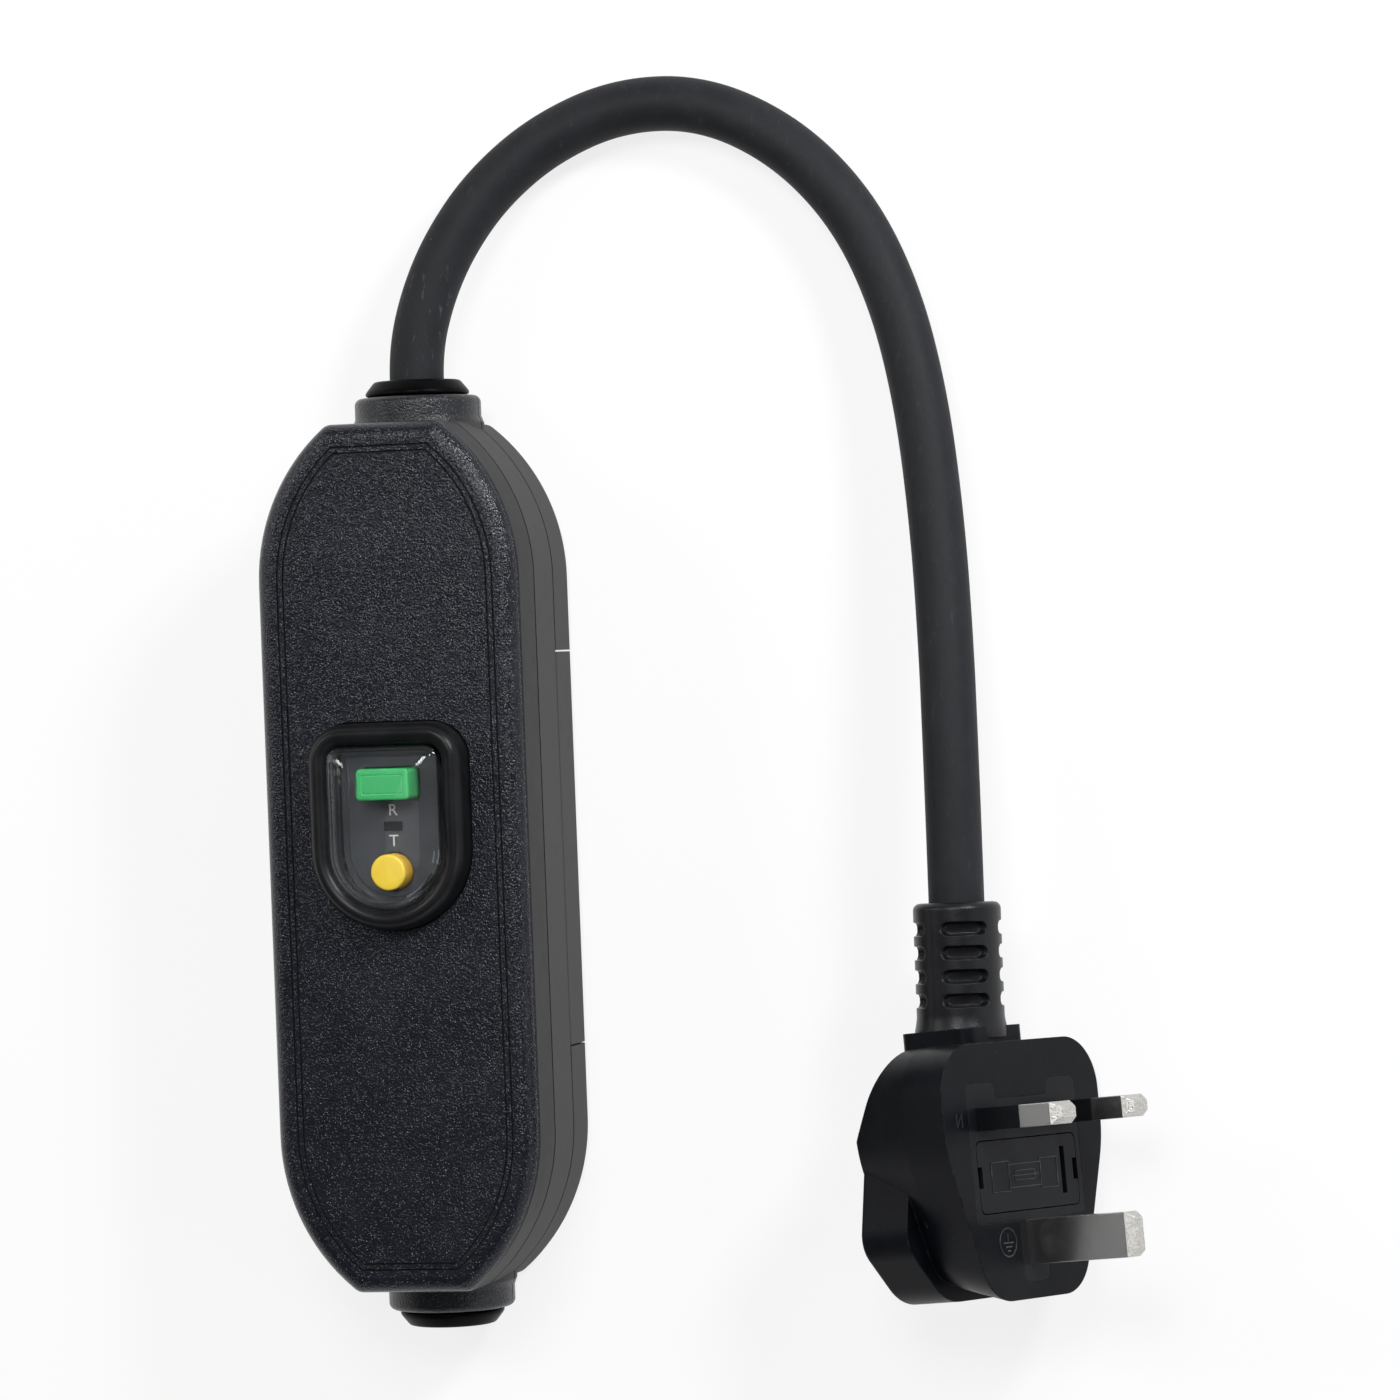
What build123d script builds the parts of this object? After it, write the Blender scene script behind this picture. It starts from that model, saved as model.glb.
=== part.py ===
from build123d import *
import math
import os

# In-line residual current device with a short cord and a moulded three-pin plug, in millimetres.
# The case lies on its back: +Z is out of the face, +Y runs along the case to the cord, +X is its right side.
# The origin is the middle of the case's back. Names that end in share are shares; all others are lengths or angles.

# One overrun serves every cut
overrun = 1.0

# Case
case_width = 49.0
case_length = 157.0
case_depth = 36.5
case_wall = 2.2
case_roof = 2.6
case_floor = 2.2
flank_half_length = 50.0
end_half_width = 10.6
corner_round = 2.6
rim_round = 3.0
back_round = 2.4
back_edge_round = 1.0

# Seams of the case
front_seam_height = 24.0
seal_thickness = 0.5
seal_recess = 0.5
rear_seam_height = 11.6
rear_seam_gap = 0.3
bay_start = 36.0
lip_height = 1.4
lip_thickness = 0.9
lip_clearance = 0.1

# Groove lines on the face
outer_groove_inset = 4.1
inner_groove_inset = 5.2
groove_width = 0.35
groove_depth = 0.4

# Collars and grommets
collar_radius = 11.6
collar_length = 5.2
collar_round = 1.3
collar_flare = 0.5
collar_flare_length = 1.4
collar_mouth_radius = 7.2
collar_mouth_length = 3.2
collar_throat_radius = 9.4
grommet_flange_radius = 9.55
grommet_tip_radius = 7.7
grommet_flange_length = 3.0
grommet_band_length = 0.9
grommet_neck_clearance = 0.06
grommet_shoulder_radius = 9.1
grommet_shoulder_length = 2.6
grommet_bore_radius = 5.2
grommet_mouth_round = 0.6

# Cord
cord_diameter = 10.0
cord_seat_clearance = 0.05

# Window bezel, its outline set from the middle of the case
window_width = 29.2
window_height = 37.4
window_middle = 5.7
window_corner = 6.8
bezel_ring = 4.1
bezel_rise = 5.6
bezel_seat_depth = 0.6
bezel_seat_clearance = 0.25
bezel_outer_round = 2.3
bezel_inner_round = 1.5

# Clear cap
cap_clearance = 0.3
cap_wall = 0.8
cap_rise = 7.1
cap_shoulder_round = 2.6
cap_flange_thickness = 0.8
window_hole_inset = 2.2
window_hole_clearance = 0.15

# Button plate
plate_pad_height = 0.3
plate_pad_inset = 0.9
plate_ledge_width = 1.6
plate_ledge_thickness = 1.0
plate_hole_clearance = 0.25
flag_window_width = 3.4
flag_window_height = 1.7
flag_window_middle = 5.7

# Reset button
reset_width = 9.9
reset_height = 5.7
reset_middle = 13.4
reset_rise = 5.7
reset_corner_round = 0.7
reset_edge_chamfer = 0.3
reset_line_inset = 1.1
reset_line_width = 0.25
reset_line_depth = 0.15
reset_flange_margin = 1.1
reset_travel = 2.5
reset_stem_radius = 2.0
reset_stem_length = 13.2

# Test button
test_diameter = 6.5
test_middle = -2.4
test_rise = 4.1
test_edge_round = 0.4
test_flange_margin = 1.2
test_travel = 1.5
test_stem_radius = 1.5
test_stem_length = 7.2
test_contact_overreach = 3.0

# Button flanges and their springs
button_flange_thickness = 1.6
button_flange_drop = 1.3
spring_wire = 0.7
reset_spring_radius = 3.2
test_spring_radius = 2.5
spring_turns = 3
spring_end_gap = 0.08

# Indicator flag
flag_width = 6.0
flag_length = 6.2
flag_thickness = 0.7
flag_start = 1.3
flag_gap = 0.3
flag_travel = 2.6
flag_rail_width = 1.0
flag_rail_clearance = 0.2
flag_rail_lip = 0.5
flag_rail_start = 4.1
flag_rail_length = 3.8
flag_tail_width = 3.0
flag_tail_thickness = 1.5
flag_tail_length = 5.0
flag_tail_place = 3.7

# Circuit board
board_side_clearance = 0.8
board_length = 53.0
board_thickness = 1.6
board_corner_round = 1.6
board_height = 6.0
board_post_radius = 2.4
board_post_inset = 4.0
board_post_y = 21.0

# Mechanism frame
frame_inner_share = 0.49
frame_wall = 1.5
frame_start = -9.0
frame_end = 21.0
frame_deck_height = 23.0
frame_deck_thickness = 1.6
stem_clearance = 0.3

# Contact carrier and contacts
carrier_length = 9.0
carrier_height = 4.0
carrier_bottom = 17.4
carrier_side_clearance = 0.3
carrier_edge_round = 0.8
contact_offset_share = 0.354
contact_width = 4.0
contact_thickness = 0.8
contact_pitch = 6.6
contact_tip_radius = 1.3
contact_tip_height = 0.8
contact_tip_margin = 0.5
contact_level = 13.0
contact_travel = 1.5
bridge_length = 10.6
strip_bend = 1.2

# Trip coil, its yoke and plunger
coil_side_room = 0.5
coil_start = -0.5
coil_length = 14.0
coil_height = 12.9
coil_cheek_thickness = 1.0
coil_cheek_lip = 0.2
yoke_thickness = 1.0
yoke_inner_gap = 0.4
yoke_outer_gap = 0.8
plunger_radius = 1.5
plunger_clearance = 0.08
plunger_length = 17.0
plunger_start = 1.5
plunger_head_radius = 2.4
plunger_head_length = 1.0
plunger_travel = 1.5

# Current transformer and the load conductors through it
core_middle = -22.0
core_radius = 11.0
core_bore_radius = 5.0
core_length = 8.6
core_round = 1.6
core_gap = 0.3
wire_radius = 1.1
wire_offset = 2.4
wire_bend = 2.0
wire_lead = 2.0
wire_run_in = 16.0
wire_run_out = 28.0
wire_turn_out = 33.0

# Board parts
capacitor_radius = 4.0
capacitor_height = 10.0
capacitor_inset = 4.3
capacitor_y = -13.0
capacitor_vent_depth = 0.3
capacitor_edge_round = 0.3
varistor_radius = 4.6
varistor_thickness = 4.0
varistor_y = 2.0
varistor_edge_round = 0.8
varistor_standoff = 0.6
varistor_leg_radius = 0.3
varistor_leg_offset = 2.3
resistor_radius = 1.9
resistor_length = 9.0
resistor_waist_depth = 0.4
resistor_waist_length = 4.5
resistor_y = 17.0
board_part_shift = 0.5
chip_width = 6.5
chip_length = 10.0
chip_height = 2.6
chip_leg_width = 1.0
chip_leg_reach = 1.1
chip_leg_thickness = 0.4
chip_leg_height = 0.8
chip_leg_pitch = 2.54
chip_leg_count = 4

# Terminals
terminal_offset_share = 0.4165
terminal_width = 7.0
terminal_length = 8.0
terminal_height = 7.0
terminal_edge_chamfer = 0.5
terminal_start = 43.0
terminal_wire_radius = 1.7
terminal_wire_drop = 3.3
terminal_screw_radius = 1.5
terminal_screw_head_radius = 2.4
terminal_screw_head_height = 1.6
terminal_screw_reach = 3.4
deck_height = 20.5
deck_thickness = 2.0
deck_end = 74.0
strip_anchor_length = 7.0
strip_drop_start = 31.0
strip_drop_end = 27.0

# Earth bar
earth_width = 5.0
earth_level = 4.0
earth_drop_y = 39.5

# Bulkheads between the mechanism and the end bays
bulkhead_thickness = 2.2
slot_clearance = 0.3

# Case screws
case_screw_inset = 5.3
case_screw_y = 31.0
case_screw_radius = 1.5
case_screw_head_radius = 2.8
case_screw_head_height = 2.0
case_screw_recess = 3.5
case_screw_end = 31.0
case_boss_radius = 3.2
case_tube_radius = 4.4
screw_grip_clearance = 0.03
screw_pass_clearance = 0.2
drive_slot_width = 0.7
drive_slot_depth = 0.8

# Terminal cover screws
cover_screw_inset = 7.5
cover_screw_y = 58.0
cover_screw_radius = 1.2
cover_screw_head_radius = 2.4
cover_screw_head_height = 1.6
cover_screw_recess = 2.8
cover_screw_end = 18.0
cover_pillar_radius = 3.6
deck_pillar_radius = 2.9

# Cord clamps
clamp_y = 67.0
clamp_screw_x = 9.3
clamp_screw_radius = 1.2
clamp_screw_head_radius = 2.2
clamp_screw_head_height = 1.7
clamp_screw_end = 17.0
clamp_bar_bottom = 4.6
clamp_bar_top = 8.2
clamp_bar_length = 24.0
clamp_bar_width = 5.6
clamp_bar_round = 1.85
clamp_pillar_radius = 2.6
clamp_rib_width = 3.0
clamp_rib_length = 8.4

# Cable tail and cores inside the inlet end
tail_end = 61.0
core_wire_radius = 1.3
core_spread = 1.9
core_rise = 1.1
core_lead = 2.5
core_reach = 1.5
core_bend = 1.8
core_turn_y = 54.0

# Plug: the pins and the face carry the standard sizes
pin_spacing = 22.23
pin_width = 6.35
pin_thickness = 3.97
pin_length = 17.7
sleeve_length = 9.3
sleeve_wall = 0.5
earth_spacing = 22.23
earth_thickness = 3.97
earth_height = 7.94
earth_length = 22.73
pin_tip_length = 1.9
pin_tip_inset = 1.1
pin_root_depth = 9.0
fuse_length = 25.4
fuse_diameter = 6.35
fuse_cap_length = 5.6
fuse_cap_wall = 0.35

# Plug body
plug_half_width = 24.0
plug_top = 13.4
plug_bottom = 32.2
plug_bottom_half_width = 14.2
plug_hip = 5.0
plug_top_round = 9.5
plug_hip_round = 22.0
plug_bottom_round = 8.5
plug_waist_depth = 10.5
plug_waist_inset = 2.4
plug_depth = 24.0
plug_back_inset = 6.3
plug_back_slope_top = 15.0
plug_back_slope_end = 2.0
plug_face_round = 0.6
plug_back_edge_round = 1.6
grip_half_width = 19.8
grip_hip = 21.0
grip_top = 2.0
grip_top_half_width = 15.6
grip_bottom = 31.8
grip_bottom_half_width = 9.5
grip_thickness = 10.4
grip_round = 10.0
grip_side_round = 6.0
grip_edge_round = 0.9

# Plug flange and strain relief
flange_width = 18.0
flange_depth = 15.2
flange_thickness = 2.9
flange_round = 2.5
flange_sink = 3.0
boot_depth = 11.6
boot_length = 22.6
boot_radius = 7.85
boot_mouth_round = 1.3
boot_foot_flare = 0.4
boot_foot_sink = 1.5
boot_foot_length = 2.6
boot_lean = 4.0
boot_slot_length = 8.0
boot_slot_width = 2.1
boot_slot_depth = 2.2
boot_slot_rows = 4
boot_slot_pitch = 4.25
boot_slot_first = 4.6
boot_slot_turn = 45.0

# Plug insert and fuse carrier
insert_half_width = 16.4
insert_top = 3.4
insert_bottom = 18.2
insert_depth = 11.5
insert_tab_reach = 3.0
insert_tab_inner = 8.2
insert_earth_half_width = 3.8
insert_earth_bottom = 29.2
insert_round = 1.1
insert_clearance = 0.05
carrier_width = 30.0
carrier_tall = 12.6
carrier_middle = 10.2
carrier_corner = 1.3
carrier_gap = 0.2
carrier_thickness = 3.0
carrier_cheek = 1.4
carrier_cheek_depth = 7.0
latch_width = 1.2
latch_height = 3.8
latch_depth = 1.2
pry_width = 1.4
pry_height = 8.4
pry_depth = 1.4
pry_offset = 10.8
fuse_seat_depth = 6.6
fuse_pocket_clearance = 0.4
fuse_clip_thickness = 0.5
fuse_clip_width = 4.0
fuse_clip_gap = 0.1
fuse_clip_foot_gap = 0.1
fuse_draw = 14.0

# The cord's route, from the inlet grommet's mouth round to the strain relief
cord_route = [
    (0.0, 86.7, 11.6),
    (0.0, 92.4, 11.6),
    (2.6, 102.6, 10.8),
    (7.0, 112.2, 9.4),
    (14.0, 121.8, 7.4),
    (24.6, 130.2, 5.8),
    (38.6, 135.6, 5.0),
    (54.4, 135.2, 5.0),
    (69.6, 127.4, 5.0),
    (81.6, 114.6, 5.6),
    (89.4, 98.4, 7.2),
    (94.2, 79.0, 9.6),
    (97.0, 56.0, 12.7),
    (98.4, 34.0, 15.8),
    (98.9, 18.2, 17.7),
    (99.2, 3.0, 18.9),
    (99.3, -11.5, 19.4),
]
plug_tilt = 23.5
bend_share = 0.45

end_arc_radius = (
    (case_length / 2 - flank_half_length) ** 2 + (case_width / 2 - end_half_width) ** 2
) / (case_width - 2 * end_half_width)
end_arc_centre_x = case_width / 2 - end_arc_radius
seal_bottom = front_seam_height - seal_thickness / 2
seal_top = front_seam_height + seal_thickness / 2
axis_height = rear_seam_height
collar_end = case_length / 2 + collar_length
grommet_end = collar_end + grommet_flange_length
cord_radius = cord_diameter / 2
roof_underside = case_depth - case_roof
bezel_seat = case_depth - bezel_seat_depth
cap_seat = bezel_seat - cap_flange_thickness
plate_underside = roof_underside - plate_ledge_thickness
plate_face = case_depth - plate_pad_height
flange_top = plate_underside - button_flange_drop
flange_bottom = flange_top - button_flange_thickness
board_top = board_height + board_thickness
frame_deck_top = frame_deck_height + frame_deck_thickness
case_inner_half = case_width / 2 - case_wall
case_screw_x = case_width / 2 - case_screw_inset
cover_screw_x = case_width / 2 - cover_screw_inset
board_width = 2 * (case_inner_half - board_side_clearance)
board_post_x = board_width / 2 - board_post_inset
frame_inner_width = case_width * frame_inner_share
contact_offset = frame_inner_width * contact_offset_share
terminal_offset = frame_inner_width * terminal_offset_share
side_bay_width = case_inner_half - frame_inner_width / 2 - frame_wall
side_bay_middle = case_inner_half - side_bay_width / 2
coil_radius = side_bay_width / 2 - coil_side_room
coil_cheek_radius = coil_radius + coil_cheek_lip
yoke_width = side_bay_width - yoke_inner_gap - yoke_outer_gap
coil_x = -(case_inner_half - yoke_outer_gap - yoke_width / 2)
capacitor_place = (board_width / 2 - capacitor_inset, capacitor_y)
varistor_place = (side_bay_middle - board_part_shift, varistor_y)
resistor_place = (side_bay_middle - board_part_shift, resistor_y)
contacts_middle = reset_middle
wire_level = deck_height - contact_thickness - terminal_wire_drop


# Basic shapes
def block(x, y, z, width, length, height):
    # A box by the middle of its foot
    return Pos(x, y, z) * extrude(Rectangle(width, length), height)


def rod(x, y, z, radius, height):
    return Pos(x, y, z) * extrude(Circle(radius), height)


def rod_y(x, y, z, radius, length):
    # A rod along +Y from the given point
    return Pos(x, y, z) * Rot(-90, 0, 0) * extrude(Circle(radius), length)


def ring(profile):
    # A turned part about the Y axis; the profile is (radius, y) points
    return revolve(make_face(Polyline(*profile, close=True)), Axis.Y)


def four_corners(x, y):
    return [(i * x, j * y) for i in (1, -1) for j in (1, -1)]


def tube_on(points, radius, bend):
    path = FilletPolyline(*points, radius=bend)
    start = Plane(origin=path @ 0, z_dir=path % 0)
    return sweep(start * Circle(radius), path=path)


def strip_on(points, x, width, thickness, bend):
    # A flat metal strip whose edge view is a bent line of (y, z) points
    path = FilletPolyline(*[(x, y, z) for y, z in points], radius=bend)
    start = Plane(origin=path @ 0, x_dir=(1, 0, 0), z_dir=path % 0)
    return sweep(start * Rectangle(width, thickness), path=path)


def screw(head_radius, head_height, radius, length):
    # Head down, slot in the head, shank up from the head's underside at the origin
    body = rod(0, 0, -head_height, head_radius, head_height) + rod(0, 0, 0, radius, length)
    slot = block(0, 0, -head_height, 2 * head_radius, drive_slot_width, drive_slot_depth)
    return body - slot


# Outlines
def case_face(inset=0):
    # Straight flanks, an arc to each corner and flat ends, drawn in from the outside by the inset
    half_width = case_width / 2 - inset
    half_length = case_length / 2 - inset
    radius = end_arc_radius - inset
    rise = half_length - flank_half_length
    corner_x = end_arc_centre_x + math.sqrt(radius**2 - rise**2)
    sweep_angle = math.atan2(rise, corner_x - end_arc_centre_x)
    mid_x = end_arc_centre_x + radius * math.cos(sweep_angle / 2)
    mid_y = flank_half_length + radius * math.sin(sweep_angle / 2)
    edges = []
    for side in (1, -1):
        flank = side * half_width
        edges.append(Line((flank, -flank_half_length), (flank, flank_half_length)))
        edges.append(Line((-corner_x, side * half_length), (corner_x, side * half_length)))
        for end in (1, -1):
            start = (flank, end * flank_half_length)
            corner = (side * corner_x, end * half_length)
            edges.append(ThreePointArc(start, (side * mid_x, end * mid_y), corner))
    face = make_face(edges)
    if inset < corner_round:
        middle_y = (half_length + flank_half_length) / 2
        corners = [v for v in face.vertices() if abs(v.Y) > middle_y]
        face = fillet(corners, corner_round - inset)
    return face


def window_face(margin=0):
    # Rounded upper corners, straight sides and a half-round foot
    half = window_width / 2 + margin
    top = window_height / 2 + margin
    foot_y = (window_width - window_height) / 2
    edges = [
        Line((half, foot_y), (half, top)),
        Line((half, top), (-half, top)),
        Line((-half, top), (-half, foot_y)),
        ThreePointArc((-half, foot_y), (0, foot_y - half), (half, foot_y)),
    ]
    face = make_face(edges)
    corners = [v for v in face.vertices() if v.Y > 0]
    face = fillet(corners, window_corner + margin)
    return Pos(0, window_middle) * face


def layer(face, low, high):
    return Pos(0, 0, low) * extrude(face, high - low)


def rounded_layer(face, low, high, top_round):
    solid = layer(face, low, high)
    return fillet(solid.faces().sort_by(Axis.Z)[-1].edges(), top_round)


# Case pieces
def front_cover():
    cover = rounded_layer(case_face(), seal_top, case_depth, rim_round)
    cover -= layer(case_face(case_wall), seal_top - overrun, roof_underside)
    for inset in (outer_groove_inset, inner_groove_inset):
        line = case_face(inset) - case_face(inset + groove_width)
        cover -= layer(line, case_depth - groove_depth, case_depth + overrun)
    cover -= layer(window_face(bezel_seat_clearance), bezel_seat, case_depth + overrun)
    cover -= layer(window_face(-window_hole_inset), seal_top, case_depth)
    for x, y in four_corners(case_screw_x, case_screw_y):
        cover += rod(x, y, seal_top, case_boss_radius, roof_underside - seal_top)
        hole = case_screw_radius + screw_grip_clearance
        cover -= rod(x, y, seal_top - overrun, hole, case_screw_end + overrun - seal_top + overrun)
    return cover


def case_seal():
    outer = case_face(seal_recess)
    return layer(outer - case_face(case_wall), seal_bottom, seal_top)


def collar():
    # One end's round collar with its flared root, mouth and throat, on the +Y end
    root = case_length / 2 - case_wall
    end = case_length / 2
    flare_start = collar_radius + collar_flare
    edges = [
        Line((0, root), (flare_start, root)),
        Line((flare_start, root), (flare_start, end)),
        Line((flare_start, end), (collar_radius, end + collar_flare_length)),
        Line((collar_radius, end + collar_flare_length), (collar_radius, collar_end)),
        Line((collar_radius, collar_end), (0, collar_end)),
        Line((0, collar_end), (0, root)),
    ]
    solid = revolve(make_face(edges), Axis.Y)
    rim = solid.edges().filter_by(GeomType.CIRCLE).sort_by(Axis.Y)[-1]
    return Pos(0, 0, axis_height) * fillet(rim, collar_round)


def collar_bore():
    mouth_start = collar_end - collar_mouth_length
    throat_start = case_length / 2 - case_wall - overrun
    mouth_length = collar_mouth_length + 2 * overrun
    mouth = rod_y(0, mouth_start - overrun, axis_height, collar_mouth_radius, mouth_length)
    return mouth + rod_y(0, throat_start, axis_height, collar_throat_radius, mouth_start - throat_start)


def at_both_ends(make):
    one = make()
    return one + Rot(0, 0, 180) * one


def end_halfspace(low, high):
    # Everything of both ends between two heights, clear outwards of the bays' start
    tall = high - low
    solid = Part()
    for side in (1, -1):
        reach = collar_end + overrun - bay_start
        middle = side * (bay_start + reach / 2)
        solid += block(0, middle, low, case_width + 2 * overrun, reach, tall)
    return solid


def rear_body():
    # The whole rear half in one piece, before the terminal covers are parted from it
    body = layer(case_face(), 0, seal_bottom)
    body = fillet(body.faces().sort_by(Axis.Z)[0].edges(), back_round)
    body -= layer(case_face(case_wall), case_floor, seal_bottom + overrun)
    body += at_both_ends(collar)
    floor_cut = block(0, 0, -2 * overrun, case_width, 2 * collar_end + 2 * overrun, 2 * overrun)
    body -= floor_cut
    return body - at_both_ends(collar_bore)


def rear_lip():
    # The tongue on top of a terminal cover that closes the seam from inside
    outer = case_face(case_wall + lip_clearance)
    inner = case_face(case_wall + lip_clearance + lip_thickness)
    band = layer(outer - inner, case_floor, rear_seam_height + lip_height)
    throat = collar_throat_radius + lip_clearance
    opening = at_both_ends(lambda: rod_y(0, bay_start, axis_height, throat, collar_end - bay_start))
    return band - opening


def bulkhead(side):
    y = side * (bay_start - bulkhead_thickness / 2)
    tall = deck_height - case_floor
    wall = block(0, y, case_floor, case_width - case_wall, bulkhead_thickness, tall)
    deep = bulkhead_thickness + 2 * overrun
    earth_tall = contact_thickness + 2 * slot_clearance
    earth_low = earth_level - earth_tall / 2
    wall -= block(0, y, earth_low, earth_width + 2 * slot_clearance, deep, earth_tall)
    for hand in (1, -1):
        if side > 0:
            wide = contact_width + 2 * slot_clearance
            low = deck_height - contact_thickness - slot_clearance
            wall -= block(hand * contact_offset, y, low, wide, deep, deck_height - low)
        else:
            hole = wire_radius + slot_clearance
            wall -= rod_y(hand * terminal_offset, y - deep / 2, wire_level, hole, deep)
    return wall


def rear_shell():
    shell = rear_body() - end_halfspace(-overrun, rear_seam_height + rear_seam_gap / 2)
    inside = layer(case_face(case_wall), 0, seal_bottom)
    fittings = Part()
    for side in (1, -1):
        reach = deck_end - bay_start + bulkhead_thickness
        middle = bay_start - bulkhead_thickness + reach / 2
        fittings += block(0, side * middle, deck_height, case_width, reach, deck_thickness)
        fittings += bulkhead(side)
        low = rear_seam_height + lip_clearance
        for hand in (1, -1):
            x, y = hand * cover_screw_x, side * cover_screw_y
            pillar = rod(x, y, low, deck_pillar_radius, deck_height - low)
            hole = cover_screw_radius + screw_grip_clearance
            fittings += pillar - rod(x, y, low, hole, cover_screw_end - low + overrun)
            x, y = hand * clamp_screw_x, side * clamp_y
            pillar = rod(x, y, clamp_bar_top, clamp_pillar_radius, deck_height - clamp_bar_top)
            hole = clamp_screw_radius + screw_grip_clearance
            deep = clamp_screw_end - clamp_bar_top + overrun
            fittings += pillar - rod(x, y, clamp_bar_top, hole, deep)
        tall = deck_height - axis_height
        rib = block(0, side * clamp_y, axis_height, clamp_rib_length, clamp_rib_width, tall)
        cable = cord_radius + cord_seat_clearance
        cut_start = side * clamp_y - clamp_rib_width
        fittings += rib - rod_y(0, cut_start, axis_height, cable, 2 * clamp_rib_width)
    for x, y in four_corners(board_post_x, board_post_y):
        fittings += rod(x, y, case_floor, board_post_radius, board_height - case_floor)
    shell += fittings & inside
    for x, y in four_corners(case_screw_x, case_screw_y):
        shell += rod(x, y, case_floor / 2, case_tube_radius, seal_bottom - case_floor / 2) & inside
        recess = case_screw_head_radius + screw_pass_clearance
        hole = case_screw_radius + screw_pass_clearance
        shell -= rod(x, y, -overrun, recess, case_screw_recess + overrun)
        shell -= rod(x, y, 0, hole, seal_bottom + overrun)
    return shell


def terminal_cover(side):
    whole = rear_body() & end_halfspace(0, rear_seam_height - rear_seam_gap / 2)
    cover = Part() + [s for s in whole.solids() if s.center().Y > 0]
    cut_back = bay_start + rear_seam_gap
    cover -= block(0, cut_back / 2, -overrun, case_width + 2 * overrun, cut_back, case_depth)
    lip_low = cut_back + lip_thickness
    lip = rear_lip() & block(0, lip_low + case_length / 2, 0, case_width, case_length, case_depth)
    cover += lip & layer(case_face(case_wall + lip_clearance), 0, case_depth)
    pillar_top = rear_seam_height
    for hand in (1, -1):
        x, y = hand * cover_screw_x, cover_screw_y
        cover += rod(x, y, case_floor / 2, cover_pillar_radius, pillar_top - case_floor / 2)
        recess = cover_screw_head_radius + screw_pass_clearance
        cover -= rod(x, y, -overrun, recess, cover_screw_recess + overrun)
        cover -= rod(x, y, 0, cover_screw_radius + screw_pass_clearance, case_depth)
    return cover if side > 0 else Rot(0, 0, 180) * cover


def case_screws():
    length = case_screw_end - case_screw_recess
    one = screw(case_screw_head_radius, case_screw_head_height, case_screw_radius, length)
    places = four_corners(case_screw_x, case_screw_y)
    return Part() + [Pos(x, y, case_screw_recess) * one for x, y in places]


def terminal_cover_screws():
    length = cover_screw_end - cover_screw_recess
    one = screw(cover_screw_head_radius, cover_screw_head_height, cover_screw_radius, length)
    places = four_corners(cover_screw_x, cover_screw_y)
    return Part() + [Pos(x, y, cover_screw_recess) * one for x, y in places]


def cord_clamp(side):
    y = side * clamp_y
    tall = clamp_bar_top - clamp_bar_bottom
    bar = block(0, y, clamp_bar_bottom, clamp_bar_length, clamp_bar_width, tall)
    ends = bar.edges().filter_by(Axis.Z)
    bar = fillet(ends, clamp_bar_round)
    cable = cord_radius + cord_seat_clearance
    bar -= rod_y(0, y - clamp_bar_width, axis_height, cable, 2 * clamp_bar_width)
    for hand in (1, -1):
        hole = clamp_screw_radius + screw_pass_clearance
        bar -= rod(hand * clamp_screw_x, y, 0, hole, case_depth)
    return bar


def cord_clamp_screws():
    length = clamp_screw_end - clamp_bar_bottom
    one = screw(clamp_screw_head_radius, clamp_screw_head_height, clamp_screw_radius, length)
    places = four_corners(clamp_screw_x, clamp_y)
    return Part() + [Pos(x, y, clamp_bar_bottom) * one for x, y in places]


def grommet(bore):
    neck = collar_mouth_radius - grommet_neck_clearance
    shoulder_end = collar_end - collar_mouth_length
    profile = [
        (bore, shoulder_end - grommet_shoulder_length),
        (grommet_shoulder_radius, shoulder_end - grommet_shoulder_length),
        (grommet_shoulder_radius, shoulder_end),
        (neck, shoulder_end),
        (neck, collar_end),
        (grommet_flange_radius, collar_end),
        (grommet_flange_radius, collar_end + grommet_band_length),
        (grommet_tip_radius, grommet_end),
        (bore, grommet_end),
    ]
    return Pos(0, 0, axis_height) * ring(profile)


def inlet_grommet():
    return grommet(cord_radius + cord_seat_clearance)


def outlet_grommet():
    return Rot(0, 0, 180) * grommet(grommet_bore_radius)


# Window pieces
def window_bezel():
    top = case_depth + bezel_rise
    outer = rounded_layer(window_face(), bezel_seat, top, bezel_outer_round)
    bezel = outer - layer(window_face(-bezel_ring), bezel_seat - overrun, top + overrun)
    inner_edges = [e for e in bezel.faces().sort_by(Axis.Z)[-1].inner_wires()[0].edges()]
    return fillet(inner_edges, bezel_inner_round)


def window_membrane():
    outer_margin = -bezel_ring - cap_clearance
    flange = layer(window_face(-window_hole_inset - window_hole_clearance), cap_seat, bezel_seat)
    cap = rounded_layer(window_face(outer_margin), cap_seat, case_depth + cap_rise, cap_shoulder_round)
    inside_top = case_depth + cap_rise - cap_wall
    inside = rounded_layer(
        window_face(outer_margin - cap_wall), cap_seat - overrun, inside_top, cap_shoulder_round - cap_wall
    )
    return flange + cap - inside


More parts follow.
